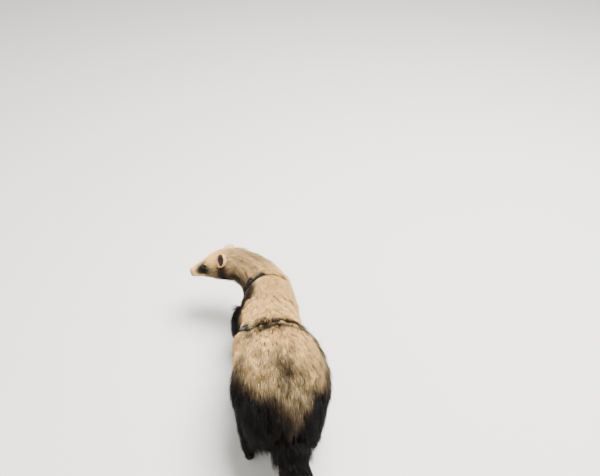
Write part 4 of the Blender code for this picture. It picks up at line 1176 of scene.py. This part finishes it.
def head_coat(skin, count):
    """The head's short fur: 2 mm on the muzzle, 10 mm at the nape, with none on the eyes.

    It is densest round the nose, where it stands out like a ring of rays. Roots in the nose,
    between the lids or in an ear are left out, and tufts that would cover an ear are shorter.
    """
    random = np.random.default_rng(31)
    quick = 1.0

    def even(low, high):
        return random.uniform(low, high, len(root))

    back, _, _ = in_head(skin[0])
    density = np.interp(back / MM, (2.2, 4, 12, 25, 45, 75), (26.0, 9.0, 3.8, 2.4, 1.3, 1.0))
    density = density * smooth_step(80 * MM, 74 * MM, back)
    root, normal = scatter(skin, density, int(count * quick), random)
    back, left, up = in_head(root)
    pad = ((back / MM - 3) / 4.4) ** 2 + (left / MM / 5.2) ** 2 + ((up / MM - 0.9) / 3.6) ** 2
    keep = pad > 1
    near_eye = np.zeros(len(root))
    for side in HEAD_SIDES.values():
        x, y, out, ways = eye_local(root, side)
        edge = almond(x, y)
        here = (out > -2 * MM) & (np.hypot(x, y) < 8 * MM)
        keep &= ~(here & ((edge < 1.15) | (normal @ ways[2] < 0.15)))
        near_eye = np.maximum(near_eye, here * smooth_step(2.6, 1.15, edge))
        keep &= ~in_ear(root, side, 0.98)
    root, normal, back, left, up, near_eye = (
        value[keep] for value in (root, normal, back, left, up, near_eye)
    )
    axes = head_axes()
    spread = smooth_step(30 * MM, 0, back)[:, None] * np.sign(left)[:, None]
    way = -axes[0] + 0.25 * spread * axes[1] - 0.18 * axes[2]
    front = smooth_step(7, 3, back / MM)
    rays = (left[:, None] * axes[1] + (up[:, None] - MM) * axes[2]) / MM
    way = way + front[:, None] * 0.3 * rays
    middle, chance = clumps(root, 3.0 * MM, 17)
    way = leaned(way, normal, chance, 0.3, 0.15, random)
    long = np.interp(back / MM, (3, 9, 18, 30, 45, 60, 76), (1.5, 2.0, 2.4, 3.2, 5.0, 8.0, 10.5))
    long = long * (1 - 0.55 * near_eye)
    long = long * MM * even(0.75, 1.15) * (0.88 + 0.24 * chance[:, 1])
    for side in HEAD_SIDES.values():
        rim, _ = ear_local(root, side)
        covers = in_ear(root + way * long[:, None], side, 1.05)
        long = np.where(covers, long * np.clip((rim - 0.7) * 1.3, 0.4, 1), long)
    jaw = smooth_step(40 * MM, 60 * MM, back) * smooth_step(-6 * MM, -16 * MM, up)
    rise = face_depth(back) + 0.5 * MM + 2.5 * MM * jaw + 0.5 * MM * front
    rise = rise * even(0.6, 1.2)
    thin = np.interp(back / MM, (2, 5, 25, 50, 76), (0.25, 0.20, 0.20, 0.25, 0.30)) * MM
    look = {
        "long": long,
        "wide": thin * even(0.8, 1.2) * (1 if quick == 1 else 1.8),
        "rise": rise * (1 - 0.5 * near_eye),
        "sway": drawn_in(root, np.cross(way, normal), middle, 0.5, 1.2 * MM),
        "drop": 0.12 * long * smooth_step(60, 76, back / MM),
        "shade": face_shade(root + 0.5 * way * long[:, None]),
        "tint": 0.10 * (chance[:, 0] - 0.5) + even(-0.05, 0.07),
        "under": 0.15,
        "flat": np.column_stack([left / 0.2 + 0.5, back / 0.12 * 0.9 + 0.04]),
    }
    return tufts("coat_head", root, normal, way, look, 1, 33)


def face_shade(points):
    """The paleness of the head's coat, with streaks 6 mm long and 1.8 mm wide."""
    back, left, up = in_head(points)
    lines = np.column_stack([back / (6 * MM), left / (1.8 * MM), up / (1.8 * MM)])
    streak = soft_noise(lines + 90, 21) - 0.5
    mark = face_mark(back, left, up)
    return np.clip(mark + 0.16 * streak * np.clip(3 * mark * (1.2 - mark), 0.2, 1), 0.03, 1)


def ear_parts(side, name):
    """An ear's skin and the short fur on its back and rim, with a few long hairs inside.

    Places along the ear's profile run from 0 at the root, by 0.5 at the rim, to 1 in the bowl.
    """
    grid, t, middle, mouth = ear_grid(side)
    first, last = middle - EAR_DEPTH * mouth, middle - 0.72 * EAR_DEPTH * mouth
    obj = mesh_object("ear_skin_" + name, *closed_rings(grid, first, last))
    # Painted shade: the ear's skin is darkened down in the bowl; the rim is paler.
    shade = 0.80 - 0.66 * smooth_step(0.58, 0.72, t) + 0.16 * bump(t, 0.52, 0.08)
    set_attribute(obj, "shade", np.append(shade.ravel(), (0.6, 0.25)))
    random = np.random.default_rng(40 + side)

    def even(low, high):
        return random.uniform(low, high, len(root))

    density = np.where(np.append(t.ravel(), (0.0, 1.0)) < 0.60, 1.0, 0.16)
    count = 3800
    root, normal = scatter(mesh_arrays(obj), density, count, random)
    near = ((root[:, None] - grid[::4, ::6].reshape(1, -1, 3)) ** 2).sum(-1).argmin(axis=1)
    at = t[::4, ::6].ravel()[near]
    ahead = head_axes()[0]
    away = unit(root - middle)
    inside = at > 0.62
    way = np.where(inside[:, None], mouth - 0.2 * away - 0.5 * ahead, mouth + 0.5 * away)
    way = way - 0.55 * ahead
    front = (at > 0.45) & (at < 0.72) & (away @ ahead > 0.3)
    long = np.where(inside, 3.2, 1.9) * MM * even(0.6, 1.2)
    long = np.where(front, 2.2 * MM * even(0.7, 1.2), long)
    look = {
        "long": long,
        "wide": np.where(inside, 0.13, 0.24) * MM,
        "rise": np.where(inside, 0.9, 0.45) * MM * even(0.5, 1.2),
        "sway": even(-0.4, 0.4) * MM,
        "drop": np.zeros(len(root)),
        "shade": np.where(inside, 0.60, 0.95) + even(-0.08, 0.05),
        "tint": np.zeros(len(root)),
        "under": 0.15,
        "flat": np.column_stack([0.5 + 0.4 * np.cos(at * 6), at * 0.9 + 0.05]),
    }
    return obj, tufts("coat_ear_" + name, root, normal, way, look, 2, 44 + side)


def paw_shapes(kind, name):
    """A paw's closed lumps, its claws and its pads, each as (points, faces).

    All sizes are in mm: a column that carries the leg's line down, the sole, and five toes
    that spread and are longest in the middle, each with a claw that curves down and a pad.
    """
    above, foot = leg_rows(kind, name)[-2:, :3]
    length, width = LEGS[kind]["paw"]
    x, y = foot[:2]
    bare = (0.0, 0.0)
    column = []
    for z, wide in ((22, 6.3), (15, 6.2), (9, 6.8)):
        share = max(0, (z - foot[2]) / (above[2] - foot[2]))
        column.append((*(foot + share * (above - foot))[:2], z, wide, wide, wide, *bare))
    half = width * 0.42
    sole = [
        (x, y - 0.20 * length, 6.6, half * 0.62, 4.4, 4.4, *bare),
        (x, y + 0.05 * length, 6.4, half * 0.86, 5.2, 5.2, *bare),
        (x, y + 0.35 * length, 5.8, half, 4.6, 4.8, *bare),
        (x, y + 0.62 * length, 5.2, half * 0.96, 3.6, 4.2, *bare),
    ]
    lumps = [tube_shape(column, 12, 28, (2, 2), ACROSS), tube_shape(sole, 24, 32, (3.5, 3))]
    claws, pads = [], []
    for spread in np.linspace(-1, 1, 5):
        root = np.array((x + spread * width * 0.34, y + length * 0.62, 5.0))
        reach = length * (0.36 - 0.09 * spread**2)
        tip = root + (spread * width * 0.16, reach, -1.2)
        knuckle = root * 0.55 + tip * 0.45 + (0, 0, 1.0)
        toe = [
            (*root, 2.0, 2.4, 2.6, *bare),
            (*knuckle, 2.3, 2.6, 3.2, *bare),
            (*tip, 2.1, 2.0, 2.6, *bare),
        ]
        lumps.append(tube_shape(toe, 12, 20, (2, 1.6)))
        share = np.linspace(0, 1, 9)[:, None]
        line = tip + unit(tip - root) * (-0.4 + 6.0 * share)
        line = line + np.array((0, 0, 1)) * (0.9 - 2.8 * share**2)
        thick = 1.15 * (1 - share) ** 0.55 + 0.07
        claw = np.hstack([line, thick * 0.7, thick, thick * 1.05, share * 0, share * 0])
        claws.append(tube_shape(claw, 18, 14, (0.5, 0.2)))
        pads.append(((tip[0], tip[1] + 0.3, 1.1), (1.7, 2.1, 1.25)))
    for out, ahead in ((-0.30, 0.52), (0.0, 0.60), (0.30, 0.52)):
        pads.append(((x + out * width, y + ahead * length, 1.35), (2.5, 2.7, 1.45)))
    pads.append(((x, y + 0.02 * length, 1.5), (3.2, 3.4, 1.6)))
    return lumps, claws, [egg(np.array(c) * MM, np.array(h) * MM) for c, h in pads]


def egg(centre, halves):
    """A closed ellipsoid whose under side is flattened to rest on the floor."""
    points = centre + np.stack(ball(12, 22)[:3], axis=-1) * halves
    points[..., 2] = np.maximum(points[..., 2], PAD_LOWEST)
    low = np.array((centre[0], centre[1], max(centre[2] - halves[2], PAD_LOWEST)))
    return closed_rings(points, low, centre + (0, 0, halves[2]))


def paw_parts(kind, name):
    """A paw's skin, claws, pads and short fur, which lies forward and falls at the wrist."""
    side, paw = SIDES[name], kind + "paw"
    lumps, claws, pads = paw_shapes(kind, name)
    skin = melted(f"{paw}_skin_{name}", lumps, 0.5 * MM, 4)
    nails = mesh_object(f"{paw}_claws_{name}", *join_shapes(claws))
    soles = mesh_object(f"{paw}_pads_{name}", *join_shapes(pads))
    arrays = mesh_arrays(skin)
    points, normals, _ = arrays
    foot = leg_rows(kind, name)[-1]
    set_attribute(skin, "shade", np.full(len(points), 0.10))
    random = np.random.default_rng(67 + side)

    def even(low, high):
        return random.uniform(low, high, len(root))

    density = smooth_step(1.2, 3, points[:, 2] / MM) * smooth_step(0.35, -0.2, -normals[:, 2])
    count = 6500
    root, normal = scatter(arrays, density, count, random)
    fall = smooth_step(9, 17, root[:, 2] / MM)
    way = np.column_stack([0 * fall, 1 - fall, -0.35 - 0.65 * fall])
    long = (2.8 + 2.6 * fall) * MM * even(0.7, 1.15)
    front = smooth_step(foot[1] + 16, foot[1] + 26, root[:, 1] / MM)
    long = long * (1 - 0.35 * front)
    look = {
        "long": long,
        "wide": np.full(len(root), 0.34 * MM) * 1,
        "rise": 0.4 * MM + 0.26 * long,
        "sway": even(-0.3, 0.3) * MM,
        "drop": 0.05 * long,
        "shade": 0.13 + even(-0.05, 0.05),
        "tint": np.full(len(root), 0.03),
        "under": 0.05,
        "flat": np.column_stack([(root[:, 0] / MM - foot[0]) / 40 + 0.5, root[:, 1] * 1.6 + 0.3]),
    }
    return skin, nails, soles, tufts(f"coat_{paw}_{name}", root, normal, way, look, 1, 70 + side)


def face_point(side, back, up):
    """A point in space on the skin of the face, from its place in mm behind the nose and up."""
    row, inset = head_row(back * MM), face_depth(back * MM)
    half = (row[3] if up > 0 else row[4]) - inset
    high = np.clip((up * MM - row[1]) / half, -0.95, 0.95)
    out = (row[2] - inset) * (1 - np.abs(high) ** OVAL_POWER) ** (1 / OVAL_POWER)
    return on_head(back * MM, side * out, up * MM)


def whiskers():
    """Thin tapered feelers on the lip pads, brows and cheeks, swept back.

    Rows hold the root's place in mm behind the nose and up, and the whisker's length.
    """
    random = np.random.default_rng(5)
    rows = [(6 + 3.4 * (k % 4), -1.2 - 1.5 * (k // 4), 24 - 1.4 * (k // 4)) for k in range(16)]
    rows += [(22 + 2 * k, 11.5, 15) for k in range(3)] + [(36, -9 + 2 * k, 13) for k in range(2)]
    t = np.linspace(0, 1, 14)[:, None]
    thick = 0.085 * (1 - t) + 0.012
    ahead, left, upward = head_axes()
    shapes = []
    for side in HEAD_SIDES.values():
        for back, up, long in rows:
            length = long * MM * random.uniform(0.75, 1.1)
            sweep = 0.55 if back < 20 else 1.2
            lift = 0.12 * up / 6 + random.uniform(-0.15, 0.2)
            go = unit(side * left * 0.9 - ahead * sweep + upward * lift)
            line = face_point(side, back, up) - 0.6 * MM * go + go * length * t
            line = line - ahead * length * 0.32 * t**2 - upward * length * 0.10 * t**2
            full = np.hstack([line / MM, thick, thick, thick, t * 0, t * 0])
            shapes.append(tube_shape(full, 14, 5, (0.02, 0.02)))
    return mesh_object("whiskers", *join_shapes(shapes))


def colour(code):
    """A linear RGBA colour from an sRGB hex code."""
    srgb = np.array([int(code[i : i + 2], 16) / 255 for i in (0, 2, 4)])
    linear = np.where(srgb <= 0.04045, srgb / 12.92, ((srgb + 0.055) / 1.055) ** 2.4)
    return (*linear, 1.0)


def add(tree, kind, sockets=(), **settings):
    """Adds a node with its settings; each socket takes a value or another node's output."""
    made = tree.nodes.new(kind)
    for name, value in settings.items():
        setattr(made, name, value)
    for key, value in dict(sockets).items():
        if isinstance(value, bpy.types.NodeSocket):
            tree.links.new(value, made.inputs[key])
        else:
            made.inputs[key].default_value = value
    return made


def finish_named(name, base, roughness, **sockets):
    """A new material, its node tree and its shader, with constants on the shader's sockets."""
    made = bpy.data.materials.new(name)
    made.use_nodes = True
    shader = made.node_tree.nodes["Principled BSDF"]
    shader.inputs["Base Color"].default_value = colour(base)
    shader.inputs["Roughness"].default_value = roughness
    for key, value in sockets.items():
        shader.inputs[key.replace("_", " ")].default_value = value
    made.diffuse_color = colour(base)
    return made, made.node_tree, shader


def ramp(tree, factor, stops):
    """A colour ramp through (place, hex code) stops."""
    made = add(tree, "ShaderNodeValToRGB", {"Fac": factor})
    elements = made.color_ramp.elements
    while len(elements) < len(stops):
        elements.new(0.5)
    for element, (place, code) in zip(elements, stops):
        element.position = place
        element.color = colour(code)
    return made.outputs["Color"]


def shade_ramp(tree, stops):
    """A colour ramp through stops, read at the shade that is stored on each point."""
    shade = add(tree, "ShaderNodeAttribute", attribute_name="shade").outputs["Fac"]
    return ramp(tree, shade, stops)


def raised_by(tree, shader, height, strength, distance):
    """Makes the surface uneven by a height."""
    sockets = {"Height": height, "Strength": strength, "Distance": distance}
    bumped = add(tree, "ShaderNodeBump", sockets)
    tree.links.new(bumped.outputs["Normal"], shader.inputs["Normal"])


def rough_by(tree, shader, scale, strength, distance):
    """A fine noise in the object's own metres that makes the surface uneven."""
    place = add(tree, "ShaderNodeTexCoord").outputs["Object"]
    noise = add(tree, "ShaderNodeTexNoise", {"Vector": place, "Scale": scale, "Detail": 3.0})
    raised_by(tree, shader, noise.outputs["Fac"], strength, distance)


COAT_STOPS = (
    (0.0, "030303"),
    (0.14, "0f0c0a"),
    (0.30, "30251b"),
    (0.46, "5f4f38"),
    (0.62, "9a855f"),
    (0.76, "d8b57c"),
    (0.90, "ffd084"),
    (1.0, "ffdc92"),
)


def hair(name, roughness):
    """Guard hair: its shade is stored on each point, and each tuft is a little warm or cool."""
    made, tree, shader = finish_named(name, "d9bf9c", roughness, Specular_IOR_Level=0.16)
    vary = add(tree, "ShaderNodeAttribute", attribute_name="vary").outputs["Fac"]
    warm = add(tree, "ShaderNodeMapRange", {"Value": vary, "To Min": 0.485, "To Max": 0.51})
    value = add(tree, "ShaderNodeMapRange", {"Value": vary, "To Min": 0.9, "To Max": 1.08})
    sockets = {
        "Color": shade_ramp(tree, COAT_STOPS),
        "Hue": warm.outputs["Result"],
        "Value": value.outputs["Result"],
    }
    toned = add(tree, "ShaderNodeHueSaturation", sockets)
    tree.links.new(toned.outputs["Color"], shader.inputs["Base Color"])
    return made


def make_finishes():
    """Every material by a short name."""
    found = {"hair": hair("guard_hair", 0.52), "face": hair("face_hair", 0.6)}
    # Undercoat and skin seen between the tufts: the same marks with the painted shade stored on
    # each skin, dull and finely felted.
    found["under"], tree, shader = finish_named("undercoat", "b79c7a", 0.85)
    tree.links.new(shade_ramp(tree, COAT_STOPS), shader.inputs["Base Color"])
    rough_by(tree, shader, 900.0, 0.5, 0.0004)
    # Thin ear skin: painted shade darkens the bowl, pale towards the rim, with a little light
    # through it.
    found["ear"], tree, shader = finish_named("ear_skin", "c08f79", 0.6, Subsurface_Weight=0.05)
    inner = shade_ramp(tree, ((0.2, "2a1f1a"), (0.55, "6b4d3e"), (0.9, "d8b893")))
    tree.links.new(inner, shader.inputs["Base Color"])
    rough_by(tree, shader, 700.0, 0.35, 0.0003)
    # Bare moist nose leather with pebbles about half a millimetre across.
    found["nose"], tree, shader = finish_named(
        "nose_leather", "cf9a8e", 0.38, Subsurface_Weight=0.2, Coat_Weight=0.25
    )
    place = add(tree, "ShaderNodeTexCoord").outputs["Object"]
    cells = add(tree, "ShaderNodeTexVoronoi", {"Vector": place, "Scale": 2100.0})
    raised_by(tree, shader, cells.outputs["Distance"], 0.5, 0.0003)
    # A dark brown, wet eye: the iris shows only as a faint warm ring.
    found["eye"], tree, shader = finish_named("wet_eye", "0d0806", 0.05, Specular_IOR_Level=0.3)
    iris = ((0.0, "050404"), (0.42, "070504"), (0.5, "2a1810"), (0.8, "160d09"))
    tree.links.new(shade_ramp(tree, iris), shader.inputs["Base Color"])
    # Claws: horn that lets a little light in and is finely ridged.
    found["horn"], *horn = finish_named("claw_horn", "b7a28b", 0.35, Subsurface_Weight=0.15)
    rough_by(*horn, 1500.0, 0.2, 0.0002)
    # Foot pads: soft bare skin, creased at about a millimetre.
    found["pad"], *pad = finish_named("foot_pad", "8d6a60", 0.6, Subsurface_Weight=0.1)
    rough_by(*pad, 1100.0, 0.6, 0.0003)
    # Whiskers: stiff pale hair with a slight gloss.
    found["whisker"], *_ = finish_named("whisker", "d8cbb8", 0.35)
    found["webbing"] = woven_band()
    # Bent and welded steel wire, lightly scratched.
    found["steel"], *steel = finish_named("steel_wire", "55575a", 0.3, Metallic=1.0)
    rough_by(*steel, 2500.0, 0.25, 0.0001)
    # A pale, matt studio floor.
    found["floor"], *floor = finish_named("studio_floor", "e9e6e1", 0.7)
    rough_by(*floor, 60.0, 0.08, 0.0005)
    return found


def woven_band():
    """Black woven nylon: ribs 0.9 mm apart across the band and threads 0.5 mm wide along it.

    The height is ribs + ribs * threads, both sines, and the tone follows it, as painted shade
    in the grooves and a painted sheen on the ribs.
    """
    made, tree, shader = finish_named("nylon_webbing", "0e0e10", 0.8, Specular_IOR_Level=0.25)
    weave = add(tree, "ShaderNodeUVMap", uv_map="weave").outputs["UV"]
    parts = add(tree, "ShaderNodeSeparateXYZ", {"Vector": weave})

    def reckon(operation, *values):
        return add(tree, "ShaderNodeMath", enumerate(values), operation=operation).outputs[0]

    def wave(socket, spacing):
        return reckon("SINE", reckon("MULTIPLY", socket, 2 * np.pi / spacing))

    ribs = wave(parts.outputs["X"], 0.0009)
    threads = wave(parts.outputs["Y"], 0.0005)
    height = reckon("ADD", reckon("MULTIPLY", ribs, threads), ribs)
    raised_by(tree, shader, height, 0.6, 0.00012)
    # Painted shade and sheen: the colour is darker in the weave's low places and lighter on its
    # ribs.
    lit = add(tree, "ShaderNodeMapRange", {"Value": height, "From Min": -2.0, "From Max": 2.0})
    tone = ramp(tree, lit.outputs["Result"], ((0.0, "070708"), (1.0, "141416")))
    tree.links.new(tone, shader.inputs["Base Color"])
    return made


def wear(obj, material, slot, *nodes):
    """Gives a piece its material, lets it ride on the animal and hides the nodes it stands for.
    Its slot is not used.
    """
    obj.data.materials.clear()
    obj.data.materials.append(material)
    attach(obj, BODY)
    if nodes:
        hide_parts(*nodes)
    return obj


BODY = next(iter(frame["bodies"]))
FINISH = make_finishes()


# The parts of the coat: name, how many tufts, how many rings each, seed, size of its locks and
# slot. coat_zones says where each grows.
COATS = (
    ("coat_rump_a", 16500, 2, 101, 6.5 * MM, "coat_pale"),
    ("coat_rump_b", 16500, 2, 102, 6.5 * MM, "coat_pale"),
    ("coat_rump_c", 9800, 3, 103, 6.5 * MM, "coat_pale"),
    ("coat_shoulder", 19000, 2, 104, 6.5 * MM, "coat_pale"),
    ("coat_neck", 14500, 2, 105, 6.5 * MM, "coat_pale"),
    ("coat_neck_fine", 14000, 1, 108, 6.5 * MM, "coat_pale"),
    ("coat_tail", 16500, 2, 106, 3.2 * MM, "coat_dark"),
    ("coat_legs", 40000, 1, 107, 6.5 * MM, "coat_dark"),
)


def coat_zones(place):
    """Where each part of the coat grows, from the limb and the mm along it."""
    at, limb_number = place["at"] / MM, place["limb"]
    trunk = limb_number == 0
    rump = trunk & (at < 126)
    return {
        "coat_rump_a": rump & (at < 56),
        "coat_rump_b": rump & (at >= 40),
        "coat_rump_c": rump,
        "coat_shoulder": trunk & (at >= 118) & (at < 205),
        "coat_neck": trunk & (at >= 196),
        "coat_neck_fine": trunk & (at >= 196),
        "coat_tail": limb_number == 1,
        "coat_legs": limb_number > 1,
    }


def build_body():
    """One skin for the trunk, tail and legs, with its coat."""
    limbs = make_limbs()
    shapes = [tube_shape(TRUNK, 90, 72, (13, 6)), tube_shape(TAIL, 60, 48, (8, 6))]
    shapes += [tube_shape(rows, 40, 40, (5, 2), ACROSS) for rows in all_legs().values()]
    skin = melted("body_skin", shapes, 2.0 * MM, 8)
    body = mesh_arrays(skin)
    place = places_on(body[0], limbs)
    # Painted shade: the skin seen between the tufts is darkened, less so from the shoulders
    # forward, where the coat is short.
    under = np.where(place["at"] > 126 * MM, 0.86, 0.74)
    set_attribute(skin, "shade", np.clip(shade_of(body[0], place) * under - 0.02, 0, 1))
    leg_nodes = ("upper_foreleg", "lower_foreleg", "thigh", "shank")
    nodes = [f"{node}_{side}" for node in leg_nodes for side in SIDES]
    wear(skin, FINISH["under"], "coat_pale", "torso", "neck", "tail", *nodes)
    zones = coat_zones(place)
    for name, count, rings, seed, lock, slot in COATS:
        coat = body_coat(name, body, limbs, 1.0 * zones[name], count, rings, seed, lock)
        wear(coat, FINISH["hair"], slot)


def build_head():
    """The head's skin and lids with the face's coat, then nose, eyes, ears and whiskers."""
    whole = head_skin_rings(*HEAD_GRID)
    skin = make_head_skin(whole)
    points, normals, triangles = mesh_arrays(skin)
    # Painted shade: the skin seen between the face's tufts is darkened.
    set_attribute(skin, "shade", np.clip(face_shade(points) * 0.85 - 0.04, 0, 1))
    wear(skin, FINISH["under"], "face_coat", "head")
    for name, side in HEAD_SIDES.items():
        place, faces, edge = lid_shape(side, whole.reshape(-1, 3))
        lid = mesh_object("lids_" + name, place, faces)
        # The lids' margin is their own dark skin; further out they carry the head skin's painted
        # shade.
        shade = face_shade(place) * 0.85 * smooth_step(1.05, 1.2, edge) + 0.02
        set_attribute(lid, "shade", np.clip(shade, 0, 1))
        wear(lid, FINISH["under"], "face_coat")
        place, way, corners = mesh_arrays(lid)
        triangles = np.vstack([triangles, corners + len(points)])
        points, normals = np.vstack([points, place]), np.vstack([normals, way])
    coat = head_coat((points, normals, triangles), 48000)
    wear(coat, FINISH["face"], "face_coat")
    nose = mesh_object("nose_pad", *nose_shape())
    wear(nose, FINISH["nose"], "nose_skin", "nose")
    for name, side in HEAD_SIDES.items():
        middle, faced = eye_place(side)
        points, faces = eye_shape(side)
        eye = mesh_object("eyeball_" + name, points, faces)
        away = np.arccos(np.clip(unit(points - middle) @ faced, -1, 1))
        set_attribute(eye, "shade", away / 1.2)
        wear(eye, FINISH["eye"], "eye", "eye_" + name)
        ear, fur = ear_parts(side, name)
        wear(ear, FINISH["ear"], "face_coat", "ear_" + name)
        wear(fur, FINISH["face"], "face_coat")
    wear(whiskers(), FINISH["whisker"], "face_coat")


def build_paws():
    """Each paw's skin, claws, pads and fur."""
    for kind in LEGS:
        for name in SIDES:
            skin, nails, soles, fur = paw_parts(kind, name)
            wear(skin, FINISH["under"], "coat_dark", f"{kind}paw_{name}")
            wear(nails, FINISH["horn"], "nose_skin")
            wear(soles, FINISH["pad"], "nose_skin")
            wear(fur, FINISH["hair"], "coat_dark")


def build_harness():
    """The three straps, and the ring: a wire bent round a circle, 96 by 20 points."""
    for name, (route, closed) in strap_routes().items():
        band = make_webbing(name.replace("harness", "webbing"), route, closed)
        wear(band, FINISH["webbing"], "webbing", name)
    middle, axes = ring_place()
    turn, wire = np.meshgrid(turns(96), turns(20), indexing="ij")
    reach = RING_RADIUS + RING_WIRE * np.cos(wire)
    local = (reach * np.cos(turn), RING_WIRE * np.sin(wire), reach * np.sin(turn))
    rings = middle + np.stack(local, axis=-1) @ axes
    ring = mesh_object("ring_wire", *wrapped_rings(rings))
    wear(ring, FINISH["steel"], "steel", "harness_ring")


LAMPS = {  # place, size and power
    "key": ((0.5, 0.3, 1.5), 1.0, 104.0),
    "fill": ((-0.8, -1.0, 1.2), 1.5, 10.0),
}


def build_studio():
    """A pale floor and surround, a large soft lamp above and a weaker one behind.

    The camera is where the photo was taken from, 0.68 m up and tilted 36 degrees down.
    """
    corners = np.array([(-4, -4, 0), (4, -4, 0), (4, 8, 0), (-4, 8, 0)], float) - (0, 0, 0.0002)
    floor = mesh_object("studio_floor", corners, [(0, 1, 2, 3)], smooth=False)
    floor.data.materials.append(FINISH["floor"])
    world = bpy.data.worlds.new("studio")
    world.use_nodes = True
    surround = world.node_tree.nodes["Background"].inputs
    surround["Color"].default_value = colour("f3f1ee")
    surround["Strength"].default_value = 0.75
    bpy.context.scene.world = world
    for name, (place, size, power) in LAMPS.items():
        lamp = bpy.data.lights.new(name, "AREA")
        lamp.size = size
        lamp.energy = power
        obj = linked(name, lamp)
        obj.location = place
        aim = Vector((0, 0.1, 0.06)) - obj.location
        obj.rotation_euler = aim.to_track_quat("-Z", "Y").to_euler()
    lens = bpy.data.cameras.new("camera")
    lens.lens = 41.4
    lens.sensor_width = 36.0
    camera = linked("camera", lens)
    camera.location = Vector((0.0, -0.483, 0.68)) + Vector(SHIFT)
    camera.rotation_euler = (np.radians(54), 0, 0)
    bpy.context.scene.camera = camera


build_body()
build_head()
build_paws()
build_harness()
build_studio()
